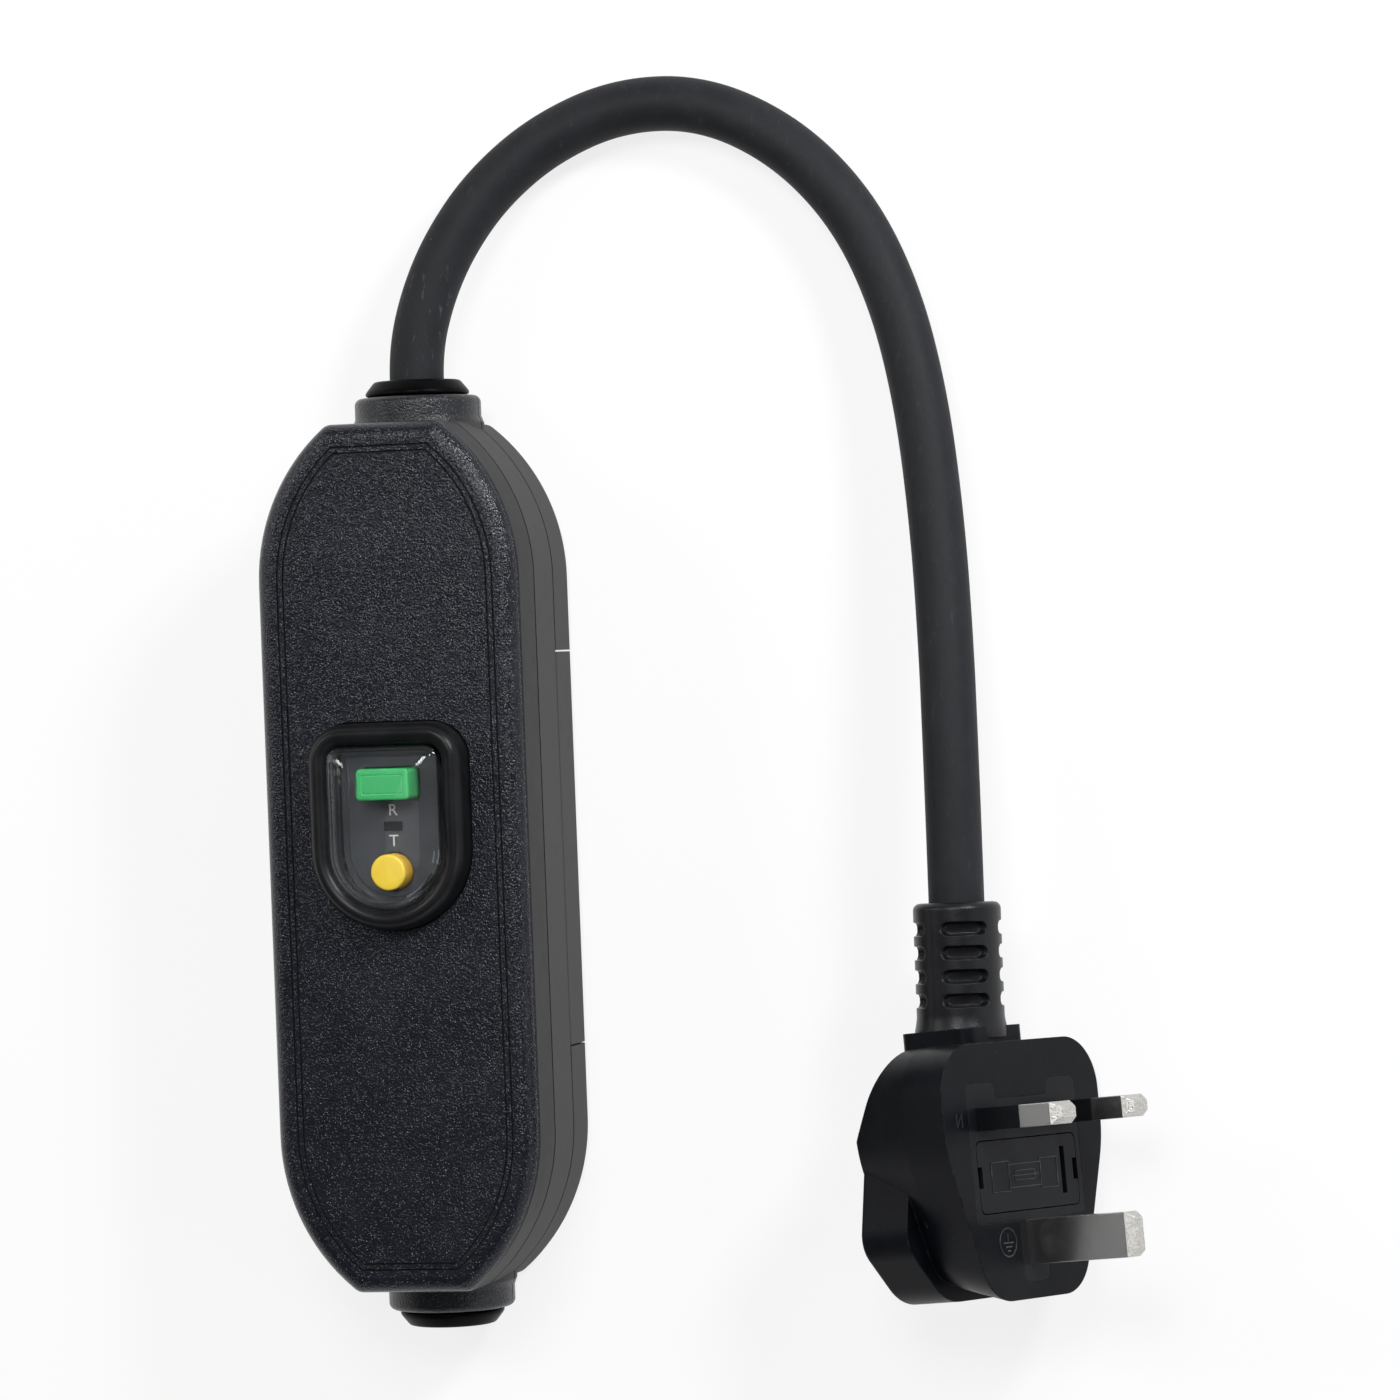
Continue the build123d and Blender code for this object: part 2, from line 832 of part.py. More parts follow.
def button_plate():
    hole = -window_hole_inset - window_hole_clearance
    plate = layer(window_face(hole), roof_underside, cap_seat)
    ledge = layer(window_face(-window_hole_inset + plate_ledge_width), plate_underside, roof_underside)
    pad_margin = -bezel_ring - cap_clearance - cap_wall - plate_pad_inset
    plate = plate + ledge + layer(window_face(pad_margin), cap_seat, plate_face)
    gap = 2 * plate_hole_clearance
    tall = case_depth
    reset_hole = RectangleRounded(reset_width + gap, reset_height + gap, reset_corner_round)
    plate -= Pos(0, reset_middle, 0) * extrude(reset_hole, tall)
    plate -= rod(0, test_middle, 0, (test_diameter + gap) / 2, tall)
    plate -= block(0, flag_window_middle, 0, flag_window_width, flag_window_height, tall)
    rail_x = flag_width / 2 + flag_rail_clearance + flag_rail_width / 2
    rail_drop = flag_gap + flag_thickness + flag_gap
    for hand in (1, -1):
        low = plate_underside - rail_drop - flag_rail_lip
        y = flag_rail_start + flag_rail_length / 2
        plate += block(hand * rail_x, y, low, flag_rail_width, flag_rail_length, plate_underside - low)
        lip_x = rail_x - flag_rail_width / 2 - flag_rail_lip / 2
        plate += block(hand * lip_x, y, low, flag_rail_lip, flag_rail_length, flag_rail_lip)
    return plate


def reset_button():
    top = case_depth + reset_rise
    face = RectangleRounded(reset_width, reset_height, reset_corner_round)
    cap = Pos(0, reset_middle, flange_top) * extrude(face, top - flange_top)
    cap = chamfer(cap.faces().sort_by(Axis.Z)[-1].edges(), reset_edge_chamfer)
    line_width = reset_width - 2 * reset_line_inset
    line_height = reset_height - 2 * reset_line_inset
    line = Rectangle(line_width, line_height) - Rectangle(
        line_width - 2 * reset_line_width, line_height - 2 * reset_line_width
    )
    cap -= Pos(0, reset_middle, top - reset_line_depth) * extrude(line, reset_line_depth + overrun)
    margin = 2 * reset_flange_margin
    wide = reset_width + margin
    cap += block(0, reset_middle, flange_bottom, wide, reset_height + margin, button_flange_thickness)
    stem_foot = flange_bottom - reset_stem_length
    return cap + rod(0, reset_middle, stem_foot, reset_stem_radius, reset_stem_length)


def test_button():
    top = case_depth + test_rise
    cap = rod(0, test_middle, flange_top, test_diameter / 2, top - flange_top)
    cap = fillet(cap.faces().sort_by(Axis.Z)[-1].edges(), test_edge_round)
    flange_radius = test_diameter / 2 + test_flange_margin
    cap += rod(0, test_middle, flange_bottom, flange_radius, button_flange_thickness)
    stem_foot = flange_bottom - test_stem_length
    return cap + rod(0, test_middle, stem_foot, test_stem_radius, test_stem_length)


def spring(y, radius):
    # A round-wire coil between the frame's deck and a button's flange
    low = frame_deck_top + spring_end_gap + spring_wire / 2
    high = flange_bottom - spring_end_gap - spring_wire / 2
    path = Helix((high - low) / spring_turns, high - low, radius)
    start = Plane(origin=path @ 0, z_dir=path % 0)
    return Pos(0, y, low) * sweep(start * Circle(spring_wire / 2), path=path, is_frenet=True)


def indicator_flag():
    high = plate_underside - flag_gap
    middle = flag_start + flag_length / 2
    flag = block(0, middle, high - flag_thickness, flag_width, flag_length, flag_thickness)
    tail_y = flag_start + flag_tail_place + flag_tail_thickness / 2
    low = high - flag_thickness - flag_tail_length
    return flag + block(0, tail_y, low, flag_tail_width, flag_tail_thickness, flag_tail_length)


# Mechanism
def mechanism_frame():
    length = frame_end - frame_start
    middle = (frame_end + frame_start) / 2
    wide = frame_inner_width + 2 * frame_wall
    frame = block(0, middle, frame_deck_height, wide, length, frame_deck_thickness)
    for hand in (1, -1):
        x = hand * (frame_inner_width + frame_wall) / 2
        frame += block(x, middle, board_top, frame_wall, length, frame_deck_height - board_top)
    deep = frame_deck_thickness + 2 * overrun
    low = frame_deck_height - overrun
    frame -= rod(0, reset_middle, low, reset_stem_radius + stem_clearance, deep)
    return frame - rod(0, test_middle, low, test_stem_radius + stem_clearance, deep)


def contact_carrier():
    wide = frame_inner_width - 2 * carrier_side_clearance
    carrier = block(0, contacts_middle, carrier_bottom, wide, carrier_length, carrier_height)
    carrier = fillet(carrier.edges().filter_by(Axis.Z), carrier_edge_round)
    low = carrier_bottom - overrun
    return carrier - rod(0, contacts_middle, low, reset_stem_radius + stem_clearance, case_depth)


def moving_contacts():
    bars = Part()
    for hand in (1, -1):
        x = hand * contact_offset
        low = carrier_bottom - contact_thickness
        bars += block(x, contacts_middle, low, contact_width, bridge_length, contact_thickness)
        for end in (1, -1):
            y = contacts_middle + end * contact_pitch / 2
            bars += rod(x, y, low - contact_tip_height, contact_tip_radius, contact_tip_height)
    return bars


def fixed_contacts():
    strips = Part()
    level = contact_level
    top_level = deck_height - contact_thickness / 2
    end_reach = contact_pitch / 2 - contact_tip_radius - contact_tip_margin
    supply_end = contacts_middle + end_reach
    load_end = contacts_middle - end_reach
    anchor_end = terminal_start + strip_anchor_length
    for hand in (1, -1):
        x = hand * contact_offset
        supply = [
            (anchor_end, top_level),
            (strip_drop_start, top_level),
            (strip_drop_end, level),
            (supply_end, level),
        ]
        strips += strip_on(supply, x, contact_width, contact_thickness, strip_bend)
        load_length = load_end - frame_start
        low = level - contact_thickness / 2
        strips += block(x, frame_start + load_length / 2, low, contact_width, load_length, contact_thickness)
        for end in (1, -1):
            y = contacts_middle + end * contact_pitch / 2
            strips += rod(x, y, level + contact_thickness / 2, contact_tip_radius, contact_tip_height)
    return strips


def load_conductors():
    core_level = board_top + core_gap + core_radius
    wires = Part()
    for hand in (1, -1):
        wide = hand * contact_offset
        near = hand * wire_offset
        far = hand * terminal_offset
        points = [
            (wide, frame_start, contact_level),
            (wide, frame_start - wire_lead, contact_level),
            (near, -wire_run_in, core_level),
            (near, -wire_run_out, core_level),
            (far, -wire_turn_out, wire_level),
            (far, -terminal_start, wire_level),
        ]
        wires += tube_on(points, wire_radius, wire_bend)
    return wires


def test_contact():
    inner = frame_inner_width / 2
    low = frame_deck_height - contact_thickness - test_travel - stem_clearance
    reach = inner + test_contact_overreach
    x = inner - reach / 2
    strip = block(x, test_middle, low, reach, contact_width, contact_thickness)
    return strip


def trip_yoke():
    length = coil_length + 2 * coil_cheek_thickness
    start = coil_start - coil_cheek_thickness - yoke_thickness
    full = length + 2 * yoke_thickness
    yoke = block(coil_x, start + full / 2, board_top, yoke_width, full, yoke_thickness)
    tall = coil_height + coil_radius - board_top
    for y in (start + yoke_thickness / 2, start + full - yoke_thickness / 2):
        yoke += block(coil_x, y, board_top, yoke_width, yoke_thickness, tall)
    bore = plunger_radius + plunger_clearance
    return yoke - rod_y(coil_x, coil_start + coil_length / 2, coil_height, bore, full)


def trip_coil():
    winding = rod_y(coil_x, coil_start, coil_height, coil_radius, coil_length)
    for y in (coil_start - coil_cheek_thickness, coil_start + coil_length):
        winding += rod_y(coil_x, y, coil_height, coil_cheek_radius, coil_cheek_thickness)
    bore = plunger_radius + plunger_clearance
    full = coil_length + 2 * coil_cheek_thickness
    return winding - rod_y(coil_x, coil_start, coil_height, bore, full)


def trip_plunger():
    rod_part = rod_y(coil_x, plunger_start, coil_height, plunger_radius, plunger_length)
    head_y = plunger_start + plunger_length
    return rod_part + rod_y(coil_x, head_y, coil_height, plunger_head_radius, plunger_head_length)


def current_transformer():
    level = board_top + core_gap + core_radius
    face = Circle(core_radius) - Circle(core_bore_radius)
    core = extrude(face, core_length)
    core = fillet(core.edges().filter_by(GeomType.CIRCLE), core_round)
    return Pos(0, core_middle - core_length / 2, level) * Rot(-90, 0, 0) * core


def circuit_board():
    board = block(0, 0, board_height, board_width, board_length, board_thickness)
    return fillet(board.edges().filter_by(Axis.Z), board_corner_round)


def smoothing_capacitor():
    x, y = capacitor_place
    can = rod(x, y, board_top, capacitor_radius, capacitor_height)
    can = fillet(can.faces().sort_by(Axis.Z)[-1].edges(), capacitor_edge_round)
    top = board_top + capacitor_height
    vent = capacitor_radius
    for angle in (0, 90):
        score = block(0, 0, 0, vent, capacitor_vent_depth, capacitor_vent_depth + overrun)
        can -= Pos(x, y, top - capacitor_vent_depth) * Rot(0, 0, angle) * score
    return can


def surge_varistor():
    x, y = varistor_place
    disc = extrude(Circle(varistor_radius), varistor_thickness)
    disc = fillet(disc.edges(), varistor_edge_round)
    level = board_top + varistor_standoff + varistor_radius
    disc = Pos(x - varistor_thickness / 2, y, level) * Rot(0, 90, 0) * disc
    legs = Part()
    for side in (1, -1):
        legs += rod(x, y + side * varistor_leg_offset, board_top, varistor_leg_radius, varistor_radius)
    return disc + legs


def test_resistor():
    x, y = resistor_place
    body = rod_y(x, y - resistor_length / 2, board_top + resistor_radius, resistor_radius, resistor_length)
    waist_start = y - resistor_waist_length / 2
    level = board_top + resistor_radius
    waist = rod_y(x, waist_start, level, resistor_radius + overrun, resistor_waist_length)
    neck = rod_y(x, waist_start, level, resistor_radius - resistor_waist_depth, resistor_waist_length)
    return body - (waist - neck)


def control_chip():
    tall = chip_height - chip_leg_thickness
    chip = block(0, 0, board_top + chip_leg_thickness, chip_width, chip_length, tall)
    chip = chamfer(chip.faces().sort_by(Axis.Z)[-1].edges(), chip_leg_thickness)
    for index in range(chip_leg_count):
        y = (index - (chip_leg_count - 1) / 2) * chip_leg_pitch
        wide = chip_width + 2 * chip_leg_reach
        chip += block(0, y, board_top, wide, chip_leg_width, chip_leg_height)
    return chip


# Terminals and earth
def terminal_block(x, side):
    top = deck_height - contact_thickness
    y = side * (terminal_start + terminal_length / 2)
    low = top - terminal_height
    body = block(x, y, low, terminal_width, terminal_length, terminal_height)
    body = chamfer(body.edges().filter_by(Axis.Z), terminal_edge_chamfer)
    body -= rod_y(x, y - terminal_length, top - terminal_wire_drop, terminal_wire_radius, 2 * terminal_length)
    hole = terminal_screw_radius + screw_grip_clearance
    return body - rod(x, y, low - overrun, hole, terminal_screw_reach + overrun)


def supply_terminals():
    return Part() + [terminal_block(hand * terminal_offset, 1) for hand in (1, -1)]


def load_terminals():
    return Part() + [terminal_block(hand * terminal_offset, -1) for hand in (1, -1)]


def terminal_screws():
    low = deck_height - contact_thickness - terminal_height
    one = screw(
        terminal_screw_head_radius, terminal_screw_head_height, terminal_screw_radius, terminal_screw_reach
    )
    middle = terminal_start + terminal_length / 2
    places = [(x, y) for x in (-terminal_offset, 0, terminal_offset) for y in (middle, -middle)]
    return Part() + [Pos(x, y, low) * one for x, y in places]


def earth_bar():
    top_level = deck_height - contact_thickness / 2
    anchor_end = terminal_start + strip_anchor_length
    points = [
        (anchor_end, top_level),
        (earth_drop_y, top_level),
        (earth_drop_y, earth_level),
        (-earth_drop_y, earth_level),
        (-earth_drop_y, top_level),
        (-anchor_end, top_level),
    ]
    bar = strip_on(points, 0, earth_width, contact_thickness, strip_bend)
    return bar + terminal_block(0, 1) + terminal_block(0, -1)


# Cable inside the inlet end
def inlet_cable_tail():
    return rod_y(0, tail_end, axis_height, cord_radius, grommet_end - tail_end)


def core(spread_x, spread_z, terminal_x):
    x, z = spread_x, axis_height + spread_z
    points = [
        (x, tail_end, z),
        (x, tail_end - core_lead, z),
        (terminal_x, core_turn_y, wire_level),
        (terminal_x, terminal_start + terminal_length - core_reach, wire_level),
    ]
    return tube_on(points, core_wire_radius, core_bend)


# Plug, drawn about the middle of the line through the live and neutral pins:
# X towards neutral, Y towards the earth pin, Z out along the pins, the face at zero
def cord_end():
    end = Vector(*cord_route[-1])
    heading = (end - Vector(*cord_route[-2])).normalized()
    level = Vector(0, 0, 1).cross(heading)
    return Plane(origin=end, x_dir=level, z_dir=heading).location


def boot_place():
    return cord_end() * Rot(0, 0, plug_tilt)


def plug_place():
    # From the strain relief's mouth to the pin line
    to_pins = flange_thickness + plug_top
    lean = boot_place() * Pos(0, 0, boot_length) * Rot(0, boot_lean, 0) * Pos(boot_depth, 0, to_pins)
    return lean * Plane(origin=(0, 0, 0), x_dir=(0, 1, 0), z_dir=(1, 0, 0)).location


def plug_face(inset=0, top_inset=0):
    half = plug_half_width - inset
    foot_half = plug_bottom_half_width - inset
    top = -plug_top + top_inset
    foot = plug_bottom - inset
    right = [(half, top), (half, plug_hip), (foot_half, foot)]
    corners = right + [(-x, y) for x, y in reversed(right)]
    face = make_face(Polyline(*corners, close=True))
    for low, high, radius in (
        (top, top, plug_top_round),
        (plug_hip, plug_hip, plug_hip_round),
        (foot, foot, plug_bottom_round),
    ):
        middle = (low + high) / 2
        picked = face.vertices().sort_by(lambda v: abs(v.Y - middle))[:2]
        face = fillet(picked, radius)
    return face


def grip_face():
    corners = [
        (grip_top_half_width, grip_top),
        (grip_half_width, grip_hip),
        (grip_bottom_half_width, grip_bottom),
        (-grip_bottom_half_width, grip_bottom),
        (-grip_half_width, grip_hip),
        (-grip_top_half_width, grip_top),
    ]
    face = make_face(Polyline(*corners, close=True))
    face = fillet(face.vertices().sort_by(lambda v: abs(v.Y - grip_bottom))[:2], grip_round)
    return fillet(face.vertices().sort_by(lambda v: abs(v.Y - grip_hip))[:2], grip_side_round)


def pin_bodies():
    # The space of the three pins inside the body
    half = pin_spacing / 2
    room = Part()
    for hand in (1, -1):
        room += block(hand * half, 0, -pin_root_depth, pin_width, pin_thickness, pin_root_depth)
    return room + block(0, earth_spacing, -pin_root_depth, earth_thickness, earth_height, pin_root_depth)


def insert_face(margin=0):
    wide = insert_half_width + margin
    top = -insert_top - margin
    bottom = insert_bottom + margin
    face = Pos(0, (top + bottom) / 2) * Rectangle(2 * wide, bottom - top)
    for hand in (1, -1):
        inner = insert_tab_inner - margin
        x = hand * (inner + wide) / 2
        face += Pos(x, top - insert_tab_reach / 2) * Rectangle(wide - inner, insert_tab_reach)
    foot = insert_earth_bottom + margin
    earth = insert_earth_half_width + margin
    face += Pos(0, (bottom + foot) / 2) * Rectangle(2 * earth, foot - bottom)
    return fillet(face.vertices(), insert_round)


def plug_body():
    front = loft([plug_face(), Pos(0, 0, -plug_waist_depth) * plug_face(plug_waist_inset)], ruled=True)
    waist = Pos(0, 0, -plug_waist_depth) * plug_face(plug_waist_inset)
    back = Pos(0, 0, -plug_depth) * plug_face(plug_back_inset)
    body = front + loft([waist, back], ruled=True)
    slope = make_face(
        Polyline(
            (-plug_top - plug_depth, -plug_back_slope_top),
            (-plug_top, -plug_back_slope_top),
            (plug_back_slope_end, -plug_depth),
            (plug_back_slope_end, -2 * plug_depth),
            (-plug_top - plug_depth, -2 * plug_depth),
            close=True,
        )
    )
    wedge = Plane(origin=(-plug_half_width, 0, 0), x_dir=(0, 1, 0), z_dir=(1, 0, 0)) * slope
    body -= extrude(wedge, 2 * plug_half_width)
    grip = Pos(0, 0, -plug_depth) * extrude(grip_face(), grip_thickness)
    grip = fillet(grip.faces().sort_by(Axis.Z)[0].edges(), grip_edge_round)
    body += grip
    flange_y = -plug_top - flange_thickness
    foot = Pos(0, flange_y, -boot_depth) * Rot(-90, 0, 0) * extrude(
        RectangleRounded(flange_width, flange_depth, flange_round), flange_thickness + flange_sink
    )
    body += foot
    body -= Pos(0, 0, -insert_depth) * extrude(insert_face(insert_clearance), insert_depth + overrun)
    return body


def plug_insert():
    insert = Pos(0, 0, -insert_depth) * extrude(insert_face(), insert_depth)
    gap = 2 * carrier_gap
    pocket = RectangleRounded(carrier_width + gap, carrier_tall + gap, carrier_corner)
    deep = fuse_seat_depth + fuse_diameter / 2 + fuse_pocket_clearance + fuse_clip_thickness
    insert -= Pos(0, carrier_middle, -deep) * extrude(pocket, deep + overrun)
    return insert - pin_bodies()


def tapered_pin(width, height, length):
    # A blade with a chamfered tip
    straight = extrude(Rectangle(width, height), length - pin_tip_length)
    base = Pos(0, 0, length - pin_tip_length) * Rectangle(width, height)
    tip = Pos(0, 0, length) * Rectangle(width - 2 * pin_tip_inset, height - 2 * pin_tip_inset)
    return straight + loft([base, tip], ruled=True)


def sleeved_pin(hand):
    place = Pos(hand * pin_spacing / 2, 0, 0)
    pin = tapered_pin(pin_width, pin_thickness, pin_length)
    sleeve = Rectangle(pin_width, pin_thickness)
    core_shape = Rectangle(pin_width - 2 * sleeve_wall, pin_thickness - 2 * sleeve_wall)
    pin -= extrude(sleeve - core_shape, sleeve_length)
    pin += Pos(0, 0, -pin_root_depth) * extrude(Rectangle(pin_width, pin_thickness), pin_root_depth)
    return place * pin


def pin_sleeve(hand):
    shape = Rectangle(pin_width, pin_thickness)
    shape -= Rectangle(pin_width - 2 * sleeve_wall, pin_thickness - 2 * sleeve_wall)
    return Pos(hand * pin_spacing / 2, 0, 0) * extrude(shape, sleeve_length)


def earth_pin():
    pin = tapered_pin(earth_thickness, earth_height, earth_length)
    pin += Pos(0, 0, -pin_root_depth) * extrude(Rectangle(earth_thickness, earth_height), pin_root_depth)
    return Pos(0, earth_spacing, 0) * pin


def fuse_carrier():
    face = RectangleRounded(carrier_width, carrier_tall, carrier_corner)
    lid = Pos(0, carrier_middle, -carrier_thickness) * extrude(face, carrier_thickness)
    for hand in (1, -1):
        x = hand * (carrier_width - latch_width) / 2
        lid -= block(x, carrier_middle, -latch_depth, latch_width, latch_height, latch_depth + overrun)
        y = carrier_middle + hand * (carrier_tall - carrier_cheek) / 2
        low = -carrier_cheek_depth
        lid += block(0, y, low, fuse_length - 2 * fuse_cap_length, carrier_cheek, carrier_cheek_depth)
    lid -= block(-pry_offset, carrier_middle, -pry_depth, pry_width, pry_height, pry_depth + overrun)
    return lid


def along_fuse(shape):
    return Pos(0, carrier_middle, -fuse_seat_depth) * Rot(0, 90, 0) * shape


def fuse_link():
    half = fuse_length / 2
    tube = Pos(0, 0, -half) * extrude(Circle(fuse_diameter / 2 - fuse_cap_wall), fuse_length)
    return along_fuse(tube)


def fuse_caps():
    half = fuse_length / 2
    sleeve = Circle(fuse_diameter / 2) - Circle(fuse_diameter / 2 - fuse_cap_wall)
    caps = Part()
    for start in (-half, half - fuse_cap_length):
        caps += Pos(0, 0, start) * extrude(sleeve, fuse_cap_length)
    return along_fuse(caps)


def fuse_clips():
    # A spring cradle under each end cap, open towards the face
    inner = fuse_diameter / 2 + fuse_clip_gap
    outer = inner + fuse_clip_thickness
    cradle = Circle(outer) - Circle(inner)
    cradle -= Pos(-outer, 0) * Rectangle(2 * outer, 2 * outer)
    clips = Part()
    half = fuse_length / 2
    for middle in (-half + fuse_cap_length / 2, half - fuse_cap_length / 2):
        clips += Pos(0, 0, middle - fuse_clip_width / 2) * extrude(cradle, fuse_clip_width)
    return along_fuse(clips)


def plug_boot():
    # Turned about its own Z from the mouth at zero, with rows of slots on four sides
    profile = [
        (0, 0),
        (boot_radius, 0),
        (boot_radius, boot_length - boot_foot_length),
        (boot_radius + boot_foot_flare, boot_length),
        (boot_radius + boot_foot_flare, boot_length + boot_foot_sink),
        (0, boot_length + boot_foot_sink),
    ]
    section = make_face(Polyline(*profile, close=True))
    boot = revolve(Plane.XZ * section, Axis.Z)
    boot = fillet(boot.faces().sort_by(Axis.Z)[0].edges(), boot_mouth_round)
    slot = SlotOverall(boot_slot_length, boot_slot_width)
    for row in range(boot_slot_rows):
        height = boot_slot_first + row * boot_slot_pitch
        for quarter in range(4):
            foot = (boot_radius - boot_slot_depth, 0, height)
            start = Plane(origin=foot, x_dir=(0, 1, 0), z_dir=(1, 0, 0))
            boot -= Rot(0, 0, quarter * 90 + boot_slot_turn) * extrude(start * slot, 2 * boot_slot_depth)
    return boot


def cord_tube():
    points = [Vector(*p) for p in cord_route]
    radii = []
    for before, here, after in zip(points, points[1:], points[2:]):
        shorter = min((here - before).length, (after - here).length)
        turn = math.radians((here - before).get_angle(after - here))
        radii.append(bend_share * shorter / math.tan(turn / 2))
    print("cord bend radii", [round(r) for r in radii])
    path = FilletPolyline(*cord_route, radius=radii)
    start = Plane(origin=path @ 0, z_dir=path % 0)
    tube = sweep(start * Circle(cord_radius), path=path)
    print("cord length", round(path.length, 1), "tube volume over section and length",
          round(tube.volume / (math.pi * cord_radius**2 * path.length), 4))
    return tube


def plug_parts():
    place = plug_place()
    half = {"live_pin": sleeved_pin(-1), "neutral_pin": sleeved_pin(1)}
    pieces = {
        "plug_body": plug_body(),
        "plug_insert": plug_insert(),
        **half,
        "earth_pin": earth_pin(),
        "live_pin_sleeve": pin_sleeve(-1),
        "neutral_pin_sleeve": pin_sleeve(1),
        "fuse_carrier": fuse_carrier(),
        "fuse_link": fuse_link(),
        "fuse_caps": fuse_caps(),
        "fuse_clips": fuse_clips(),
    }
    placed = {name: place * piece for name, piece in pieces.items()}
    # The strain relief ends on the flange's face
    reach = plug_top + plug_bottom
    middle = reach / 2 - plug_top - flange_thickness
    beyond = block(0, middle, -2 * plug_depth, 2 * reach, reach, 2 * plug_depth)
    placed["plug_boot"] = boot_place() * plug_boot() - place * beyond
    return placed


pieces = {
    "front_cover": front_cover(),
    "rear_shell": rear_shell(),
    "inlet_terminal_cover": terminal_cover(1),
    "outlet_terminal_cover": terminal_cover(-1),
    "case_seal": case_seal(),
    "case_screws": case_screws(),
    "terminal_cover_screws": terminal_cover_screws(),
    "window_bezel": window_bezel(),
    "window_membrane": window_membrane(),
    "button_plate": button_plate(),
    "reset_button": reset_button(),
    "test_button": test_button(),
    "reset_spring": spring(reset_middle, reset_spring_radius),
    "test_spring": spring(test_middle, test_spring_radius),
    "indicator_flag": indicator_flag(),
    "inlet_grommet": inlet_grommet(),
    "outlet_grommet": outlet_grommet(),
    "inlet_cord_clamp": cord_clamp(1),
    "outlet_cord_clamp": cord_clamp(-1),
    "cord_clamp_screws": cord_clamp_screws(),
    "mechanism_frame": mechanism_frame(),
    "contact_carrier": contact_carrier(),
    "moving_contacts": moving_contacts(),
    "fixed_contacts": fixed_contacts(),
    "load_conductors": load_conductors(),
    "test_contact": test_contact(),
    "trip_coil": trip_coil(),
    "trip_yoke": trip_yoke(),
    "trip_plunger": trip_plunger(),
    "current_transformer": current_transformer(),
    "circuit_board": circuit_board(),
    "smoothing_capacitor": smoothing_capacitor(),
    "surge_varistor": surge_varistor(),
    "test_resistor": test_resistor(),
    "control_chip": control_chip(),
    "supply_terminals": supply_terminals(),
    "load_terminals": load_terminals(),
    "terminal_screws": terminal_screws(),
    "earth_bar": earth_bar(),
    "inlet_cable_tail": inlet_cable_tail(),
    "live_core": core(-core_spread, core_rise, -terminal_offset),
    "neutral_core": core(core_spread, core_rise, terminal_offset),
    "earth_core": core(0, -2 * core_rise, 0),
    "cord": cord_tube(),
    **plug_parts(),
}

os.makedirs("parts", exist_ok=True)
for name, piece in pieces.items():
    export_step(piece, f"parts/{name}.step")
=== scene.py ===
import math
import bpy
import numpy as np
from mathutils import Matrix, Vector


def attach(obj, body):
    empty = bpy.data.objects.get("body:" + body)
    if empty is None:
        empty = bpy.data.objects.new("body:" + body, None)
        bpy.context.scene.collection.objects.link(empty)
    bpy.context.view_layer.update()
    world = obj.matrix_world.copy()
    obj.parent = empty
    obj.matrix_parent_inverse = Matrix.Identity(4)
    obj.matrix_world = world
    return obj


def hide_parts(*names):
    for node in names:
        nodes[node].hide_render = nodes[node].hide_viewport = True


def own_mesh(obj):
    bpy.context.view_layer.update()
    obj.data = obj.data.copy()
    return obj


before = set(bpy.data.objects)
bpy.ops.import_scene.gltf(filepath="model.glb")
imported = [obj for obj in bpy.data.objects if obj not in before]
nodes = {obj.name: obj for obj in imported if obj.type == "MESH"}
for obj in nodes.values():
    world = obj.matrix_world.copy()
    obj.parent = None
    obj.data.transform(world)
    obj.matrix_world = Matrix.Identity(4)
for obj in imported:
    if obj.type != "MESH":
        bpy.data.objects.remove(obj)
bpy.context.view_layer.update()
scene = bpy.context.scene
mm = 0.001  # sizes are in millimetres, times this to be metres

camera = {
    "place": (0.3265, 0.0346, 1.0666),
    "forward": (-0.2523, -0.0077, -0.9676),
    "up": (0.0352, 0.9992, -0.0171),
    "framePixels": 1400,  # the photograph's frame
    "focalPixels": 6000,  # how far the picture lies from the lens, in its pixels
}


def addObject(name, data):
    made = bpy.data.objects.new(name, data)
    bpy.context.collection.objects.link(made)
    return made


def aimCamera(spec):
    # Right is forward x up; the turn's columns are right, up and back
    forward = Vector(spec["forward"]).normalized()
    right = forward.cross(Vector(spec["up"])).normalized()
    turn = Matrix((right, right.cross(forward), -forward)).transposed().to_4x4()
    data = bpy.data.cameras.new("photoCamera")
    data.sensor_width = 36
    data.lens = spec["focalPixels"] / spec["framePixels"] * data.sensor_width
    scene.camera = addObject("photoCamera", data)
    scene.camera.matrix_world = Matrix.Translation(spec["place"]) @ turn


aimCamera(camera)

lampAim = Vector((0.03, 0.02, 0.02))  # near the middle of the object
lamps = {
    # place, width and height, watts, colour
    "topSoftbox": ((0.13, 0.42, 0.95), (0.30, 0.30), 4.8, (1.0, 0.99, 0.98)),
    "leftSoftbox": ((-0.62, 0.36, 0.65), (0.24, 0.24), 1.7, (1.0, 0.99, 0.97)),
    "bandSoftbox": ((-0.85, 0.20, 0.42), (0.36, 0.28), 0.60, (1.0, 0.99, 0.98)),
    "rightSoftbox": ((0.60, 0.50, 0.50), (0.16, 0.16), 5.6, (0.98, 0.99, 1.0)),
    "sideSoftbox": ((0.95, -0.25, 0.45), (0.25, 0.60), 1.2, (0.96, 0.98, 1.0)),
    "nearSoftbox": ((0.35, -0.85, 0.40), (0.50, 0.20), 0.6, (0.98, 0.99, 1.0)),
    "overheadSoftbox": ((-0.02, 0.02, 1.15), (0.75, 0.60), 0.50, (0.98, 0.99, 1.0)),
}
